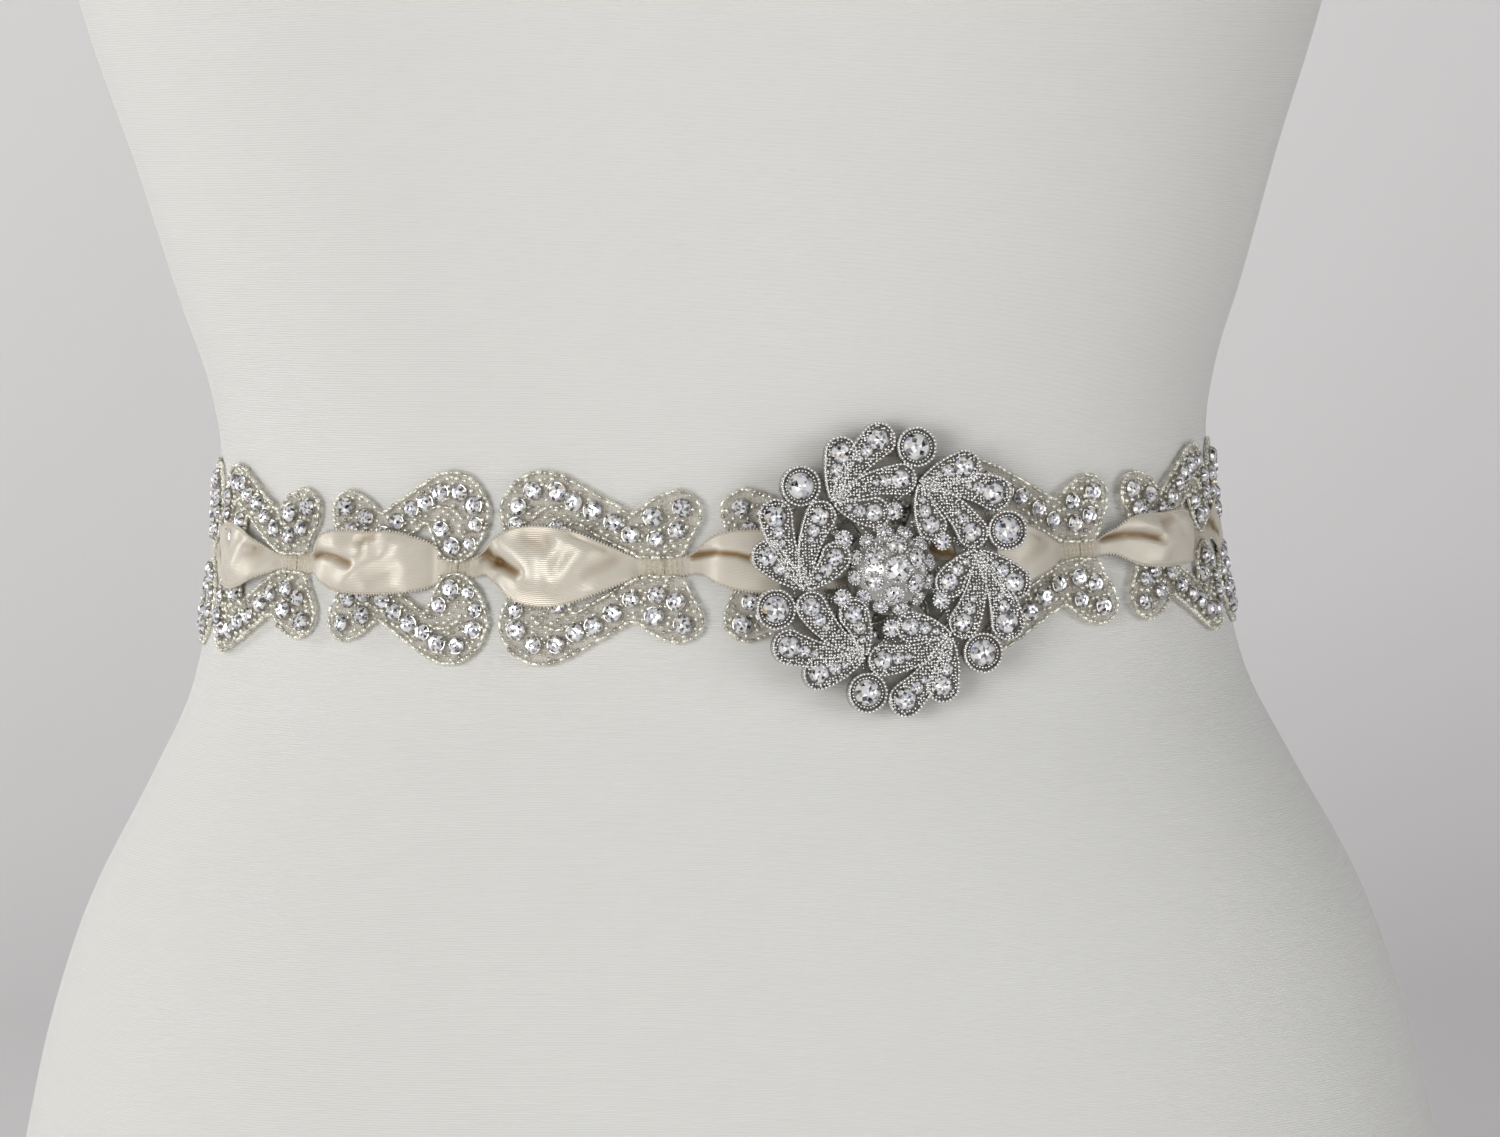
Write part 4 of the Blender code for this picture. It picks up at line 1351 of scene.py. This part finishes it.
class SASH_OT_brooch(bpy.types.Operator):
    """Make the round brooch: leaves, collets, flower, beaded rims and stones"""

    bl_idname = "sash.brooch"
    bl_label = "Brooch"

    def execute(self, context):
        settings = context.scene.sash_brooch
        silver = plated_metal(
            "Rhodium plate, cast", opaque(settings.silver), opaque(settings.recess_colour), 0.2
        )
        crystal = foiled_crystal(context.scene.sash_trim)
        self.chance = np.random.default_rng(7)
        self.front = PLATE_THICK + 0.2
        self.size = settings.grain / MM
        self.pitch = settings.grain_pitch / MM
        self.dishes = []
        self.grains = []
        self.stones = []
        for repeat in range(BROOCH_REPEATS):
            for leaf in LEAVES:
                self.leaf(repeat, *leaf)
            self.collet(repeat)
        self.flower()
        self.ground()

        centre, axes = brooch_frame()
        points, faces = joined(*((points, faces) for points, faces, _ in self.dishes))
        metal = new_piece(
            "brooch_casting", centre + points @ axes, faces, silver, "silver", smooth=False,
            high=np.concatenate([high for _, _, high in self.dishes]),
        )
        metal.data.set_sharp_from_angle(angle=math.radians(35))
        sprays = [f"brooch_spray_{number}" for number in range(1, BROOCH_REPEATS + 1)]
        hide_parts(*sprays, "brooch_flower")

        shape = grain_shape()
        places, sizes, high = (np.array(column) for column in zip(*self.grains))
        points, faces = copies(shape, places, flat_axes(len(places)), sizes * self.size)
        new_piece(
            "brooch_grains", centre + points @ axes, faces, silver, "silver",
            high=np.repeat(high, len(shape[0])),
        )

        places, outward, sizes = (np.array(column) for column in zip(*self.stones))
        level = unit(np.cross((0, 1.0, 0), outward))
        turn = self.chance.uniform(0, 2 * math.pi, len(places))[:, None]
        first = np.cos(turn) * level + np.sin(turn) * np.cross(outward, level)
        stone_axes = np.stack([first, np.cross(outward, first), outward], axis=-2)
        points, faces = copies(cut_stone(), places, stone_axes, sizes)
        cut = new_piece(
            "brooch_crystals", centre + points @ axes, faces, crystal, "crystal", smooth=False,
            tone=facet_tones(self.chance, len(places)),
        )
        big = [f"brooch_stone_{number}" for number in range(1, BROOCH_REPEATS + 1)]
        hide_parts(*big, "brooch_centre_stone")

        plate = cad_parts["brooch_plate"]
        back = plated_metal(
            "Rhodium plate, cast back", opaque(settings.silver), opaque(settings.recess_colour), 0.35
        )
        plate.data.materials.clear()
        plate.data.materials.append(back)
        return {"FINISHED"}

    def grain(self, place, size=1.0, high=0.9):
        self.grains.append((tuple(place), size, high))

    def rim(self, outline, height, inset, size=1.0, closed=True):
        """Grains in a row on a path, a little inside it and not quite even."""
        places, direction = spaced(outline, self.pitch * size, closed=closed)
        inward = np.stack([-direction[:, 1], direction[:, 0]], axis=-1)
        places = places + inward * self.chance.uniform(inset - 0.08, inset + 0.08, (len(places), 1))
        for x, y in places:
            self.grain((x, y, height), size, self.chance.uniform(0.7, 1.0))

    def pave(self, outline, taken, height, clear, step):
        """Small grains close together inside an outline, clear of its rim and of what is taken."""
        low = outline.min(axis=0)
        high = outline.max(axis=0)
        places = np.array([
            (x, y) for y in np.arange(low[1], high[1], step) for x in np.arange(low[0], high[0], step)
        ])
        places = places + self.chance.uniform(-0.25, 0.25, places.shape) * step
        places = places[inside(places, outline)]
        edge = spaced(outline, 0.4, closed=True)[0]
        kept = np.linalg.norm(places[:, None] - edge, axis=-1).min(axis=1) > clear
        for x, y, radius in taken:
            kept &= np.hypot(places[:, 0] - x, places[:, 1] - y) > radius + 0.2
        for x, y in places[kept]:
            up = height + self.chance.uniform(-0.1, 0.15)
            self.grain((x, y, up), self.chance.uniform(0.85, 1.15), self.chance.uniform(0.5, 1.0))

    def leaf(self, repeat, head_radius, head_angle, size, bend, raised):
        outline, spine, wide = leaf_outline(repeat, head_radius, head_angle, size, bend)
        top = self.front + 2.1 + raised
        self.dishes.append(tray(outline, self.front, top, 0.45, top - 0.75))
        self.rim(outline, top + 0.02, 0.2, 1.15)
        out = (0, 0, 1.0)
        radius = size - 1.5
        taken = [(*spine[-1], radius)]
        along = np.linalg.norm(spine - spine[-1], axis=1)
        at = radius
        for wanted in LEAF_STONES:
            number = int(np.argmin(np.abs(along - at - wanted)))
            small = min(wanted, wide[number] - 0.65)
            if small < 0.4:
                break
            taken.append((*spine[number], small))
            at += 2 * small + 0.2
        for x, y, radius in taken:
            self.stones.append(((x, y, top - 0.35 - 0.35 * radius), out, radius))
        self.pave(outline, taken, top - 0.25, 0.6, 0.66)

    def collet(self, repeat):
        middle = polar(COLLET_AT[0], COLLET_AT[1] + 360 / BROOCH_REPEATS * repeat)
        turns = np.linspace(0, 2 * math.pi, 36, endpoint=False)
        circle = np.stack([np.cos(turns), np.sin(turns)], axis=-1)
        top = self.front + 2.3
        outline = middle + circle * (COLLET_RADIUS - 0.1)
        self.dishes.append(tray(outline, self.front, top, 0.5, top - 0.9))
        self.rim(outline, top + 0.02, 0.22, 1.15)
        self.rim(middle + circle * (COLLET_RADIUS - 1.2), top - 0.35, 0, 0.9)
        self.stones.append(((*middle, top - 1.3), (0, 0, 1.0), COLLET_RADIUS - 1.6))

    def setting(self, place, out, radius):
        """A stone on the flower in a ring of grains."""
        self.stones.append((tuple(place - out * 0.15), tuple(out), radius))
        level = unit(np.cross((0, 1.0, 0), out))
        other = np.cross(out, level)
        count = round(2 * math.pi * (radius + 0.2) / 0.72)
        for step in range(count):
            turn = 2 * math.pi * (step + self.chance.uniform(-0.15, 0.15)) / count
            around = math.cos(turn) * level + math.sin(turn) * other
            at = place + around * (radius + 0.2) + out * 0.3 * radius
            self.grain(at, self.chance.uniform(0.9, 1.3), self.chance.uniform(0.5, 1.0))

    def flower(self):
        profile = [(9.1, self.front)]
        profile += [(max(r, 0.05), self.front + z) for r, z in FLOWER_PROFILE[::-1]]
        points, faces = turned(profile, 48)
        self.dishes.append((points, faces, np.full(len(points), 0.4)))
        for count, radius, first, size in FLOWER_STONES:
            for step in range(count):
                place, out = dome_place(radius, first + 360 / count * step)
                self.setting(place + (0, 0, self.front), out, size)
        for _ in range(260):
            radius, turn = 9.2 * math.sqrt(self.chance.uniform(0, 1)), self.chance.uniform(0, 360)
            place, out = dome_place(radius, turn)
            place = place + (0, 0, self.front)
            if all(np.linalg.norm(place - at) > 1.05 * size for at, _, size in self.stones[-19:]):
                self.grain(place + 0.1 * out, self.chance.uniform(0.9, 1.4), self.chance.uniform(0.2, 1.0))

    def ground(self):
        """Grains and curved stems on the plate, where the leaves leave room and it isn't cut out."""
        turns = np.arange(0, 360, 10)
        disc = np.array([polar(22.5, turn) for turn in turns])
        places = self.chance.uniform(-22.5, 22.5, (2600, 2))
        places = places[inside(places, disc)]
        radius = np.hypot(places[:, 0], places[:, 1])
        angle = np.degrees(np.arctan2(places[:, 1], places[:, 0]))
        beside_hole = np.abs((angle - 137.0 + 30) % 60 - 30) > 13
        kept = (radius > 9.3) & (beside_hole | (radius > 16.2))
        for repeat in range(BROOCH_REPEATS):
            for leaf in LEAVES:
                kept &= ~inside(places, leaf_outline(repeat, *leaf[:4])[0])
            middle = polar(COLLET_AT[0], COLLET_AT[1] + 360 / BROOCH_REPEATS * repeat)
            kept &= np.linalg.norm(places - middle, axis=1) > COLLET_RADIUS
        laid = []
        for place in places[kept]:
            if min((np.linalg.norm(place - other) for other in laid), default=9) > 0.62:
                laid.append(place)
                up = PLATE_THICK + self.chance.uniform(0.05, 0.35)
                self.grain((*place, up), self.chance.uniform(0.9, 1.4), self.chance.uniform(0.5, 1.0))
        radius, angle, size = STEM_STONE
        for repeat in range(BROOCH_REPEATS):
            place = polar(radius, angle + 360 / BROOCH_REPEATS * repeat)
            self.setting(np.array([*place, self.front + 1.9]), np.array([0, 0, 1.0]), size)
            stem = [polar(radius, angle + 360 / BROOCH_REPEATS * repeat) for radius, angle in STEM]
            for aside in (-0.35, 0.35):
                self.rim(smooth_path(stem), self.front + 0.9, aside, closed=False)


class SASH_OT_stage(bpy.types.Operator):
    """Make the floor, backdrop, lights and camera"""

    bl_idname = "sash.stage"
    bl_label = "Stage"

    def execute(self, context):
        settings = context.scene.sash_stage
        self.backdrop(settings)
        self.lights(context)
        self.camera(context, settings)
        return {"FINISHED"}

    def backdrop(self, settings):
        made, tree, shader = new_material("Paper backdrop, rolled", Roughness=0.9)
        place = add_node(tree, "ShaderNodeTexCoord").outputs["Object"]
        axis = add_node(tree, "ShaderNodeSeparateXYZ", {"Vector": place})
        rise = add_node(
            tree, "ShaderNodeMapRange", {"Value": axis.outputs["Z"], "From Min": 0.0, "From Max": 0.16}
        )
        right = add_node(
            tree, "ShaderNodeMapRange", {"Value": axis.outputs["X"], "From Min": -0.3, "From Max": 0.3}
        )
        # Painted shade: the colour is graded, greyer at the bottom of the right side, where the paper
        # turns along the floor, and greyest over the left side, standing in for how the light falls off
        # there
        shaded_foot = mixed(
            tree, rise.outputs["Result"], scaled(settings.backdrop, 1.13), scaled(settings.backdrop, 1.22)
        )
        colour = mixed(tree, right.outputs["Result"], scaled(settings.backdrop, 1.07), shaded_foot)
        tree.links.new(colour, shader.inputs["Base Color"])
        # It ends just above the camera's picture, so that a camera behind it looks over it
        turns = np.linspace(-math.pi / 2, -0.15, 13)
        profile = [(-2.6, 0.0)] + [(1.2 + 0.7 * math.cos(t), 0.7 + 0.7 * math.sin(t)) for t in turns]
        points = [(x, y, z) for y, z in profile for x in np.linspace(-3, 3, 9)]
        mesh = bpy.data.meshes.new("backdrop")
        mesh.from_pydata(points, [], grid_faces(len(profile), 9))
        mesh.shade_smooth()
        mesh.materials.append(made)
        floor = bpy.data.objects.new("backdrop", mesh)
        bpy.context.scene.collection.objects.link(floor)

    def lights(self, context):
        world = bpy.data.worlds.new("Studio")
        world.use_nodes = True
        tree = world.node_tree
        # A dim room with many small bright panels, which the stones and beads sparkle with
        way = add_node(tree, "ShaderNodeTexCoord").outputs["Generated"]
        panels = add_node(tree, "ShaderNodeTexVoronoi", {"Vector": way, "Scale": 3.0})
        lit = add_node(
            tree,
            "ShaderNodeMapRange",
            {"Value": panels.outputs["Distance"], "From Min": 0.28, "From Max": 0.36,
             "To Min": 2.3, "To Max": 0.26},
        )
        # Less light from straight above than from around
        up = add_node(tree, "ShaderNodeSeparateXYZ", {"Vector": way}).outputs["Z"]
        above = add_node(
            tree,
            "ShaderNodeMapRange",
            {"Value": up, "From Min": 0.0, "From Max": 1.0, "To Min": 1.1, "To Max": 0.3},
        )
        lit = add_node(
            tree,
            "ShaderNodeMath",
            {0: lit.outputs["Result"], 1: above.outputs["Result"]},
            operation="MULTIPLY",
        )
        background = tree.nodes["Background"]
        background.inputs["Color"].default_value = opaque(linear("#E4E3E3"))
        tree.links.new(lit.outputs["Value"], background.inputs["Strength"])
        context.scene.world = world
        for name, place, aim, size, power, colour in (
            ("Key", (-1.0, -1.68, 0.38), (0, 0, 0.3), 0.9, 16.6, "#FFFEFC"),
            ("Fill", (1.6, -1.05, 0.30), (0, 0, 0.3), 1.2, 10.6, "#FFFFFF"),
            ("Rim", (-0.5, 0.9, 1.6), (0, 0, 0.3), 0.8, 4.0, "#FFFFFF"),
            ("Backdrop", (-1.4, 0.4, 0.75), (0.5, 1.9, 0.8), 0.8, 10.4, "#FFFDFB"),
        ):
            lamp = bpy.data.lights.new(name, "AREA")
            lamp.size = size
            lamp.energy = power
            lamp.color = linear(colour)
            made = bpy.data.objects.new(name, lamp)
            made.location = place
            towards = Vector(aim) - Vector(place)
            made.rotation_euler = towards.to_track_quat("-Z", "Y").to_euler()
            context.scene.collection.objects.link(made)

    def camera(self, context, settings):
        angle = settings.elevation
        place = Vector((0, -math.cos(angle), math.sin(angle))) * settings.distance
        place += Vector((0, 0, WAIST_HEIGHT * MM))
        target = Vector((0.00781, 0, WAIST_HEIGHT * MM - 0.00472))
        data = bpy.data.cameras.new("Camera")
        data.sensor_width = 36
        data.lens = 134.2
        made = bpy.data.objects.new("Camera", data)
        look = (target - place).to_track_quat("-Z", "Y").to_matrix().to_4x4()
        roll = Matrix.Rotation(settings.roll, 4, "Z")
        made.matrix_world = Matrix.Translation(place) @ look @ roll
        context.scene.collection.objects.link(made)
        context.scene.camera = made
        context.scene.view_settings.view_transform = "Standard"


class SASH_PT_panel(bpy.types.Panel):
    """The sash's sizes, colours and pieces"""

    bl_idname = "SASH_PT_panel"
    bl_label = "Bridal sash"
    bl_space_type = "VIEW_3D"
    bl_region_type = "UI"
    bl_category = "Sash"

    def draw(self, context):
        for operator in OPERATORS:
            self.layout.operator(operator.bl_idname)
        for name, group in SETTINGS.items():
            box = self.layout.box()
            settings = getattr(context.scene, name)
            for key in group.__annotations__:
                box.prop(settings, key)


OPERATORS = (
    SASH_OT_form,
    SASH_OT_trim,
    SASH_OT_ribbon,
    SASH_OT_tie,
    SASH_OT_brooch,
    SASH_OT_stage,
)


def register():
    for made in (*SETTINGS.values(), *OPERATORS, SASH_PT_panel):
        bpy.utils.register_class(made)
    for name, group in SETTINGS.items():
        setattr(bpy.types.Scene, name, PointerProperty(type=group))


def unregister():
    for name in SETTINGS:
        delattr(bpy.types.Scene, name)
    for made in (SASH_PT_panel, *reversed(OPERATORS), *reversed(SETTINGS.values())):
        bpy.utils.unregister_class(made)


def main():
    register()
    bpy.ops.sash.form()
    bpy.ops.sash.trim()
    bpy.ops.sash.ribbon()
    bpy.ops.sash.tie()
    bpy.ops.sash.brooch()
    bpy.ops.sash.stage()


if __name__ == "__main__":
    main()
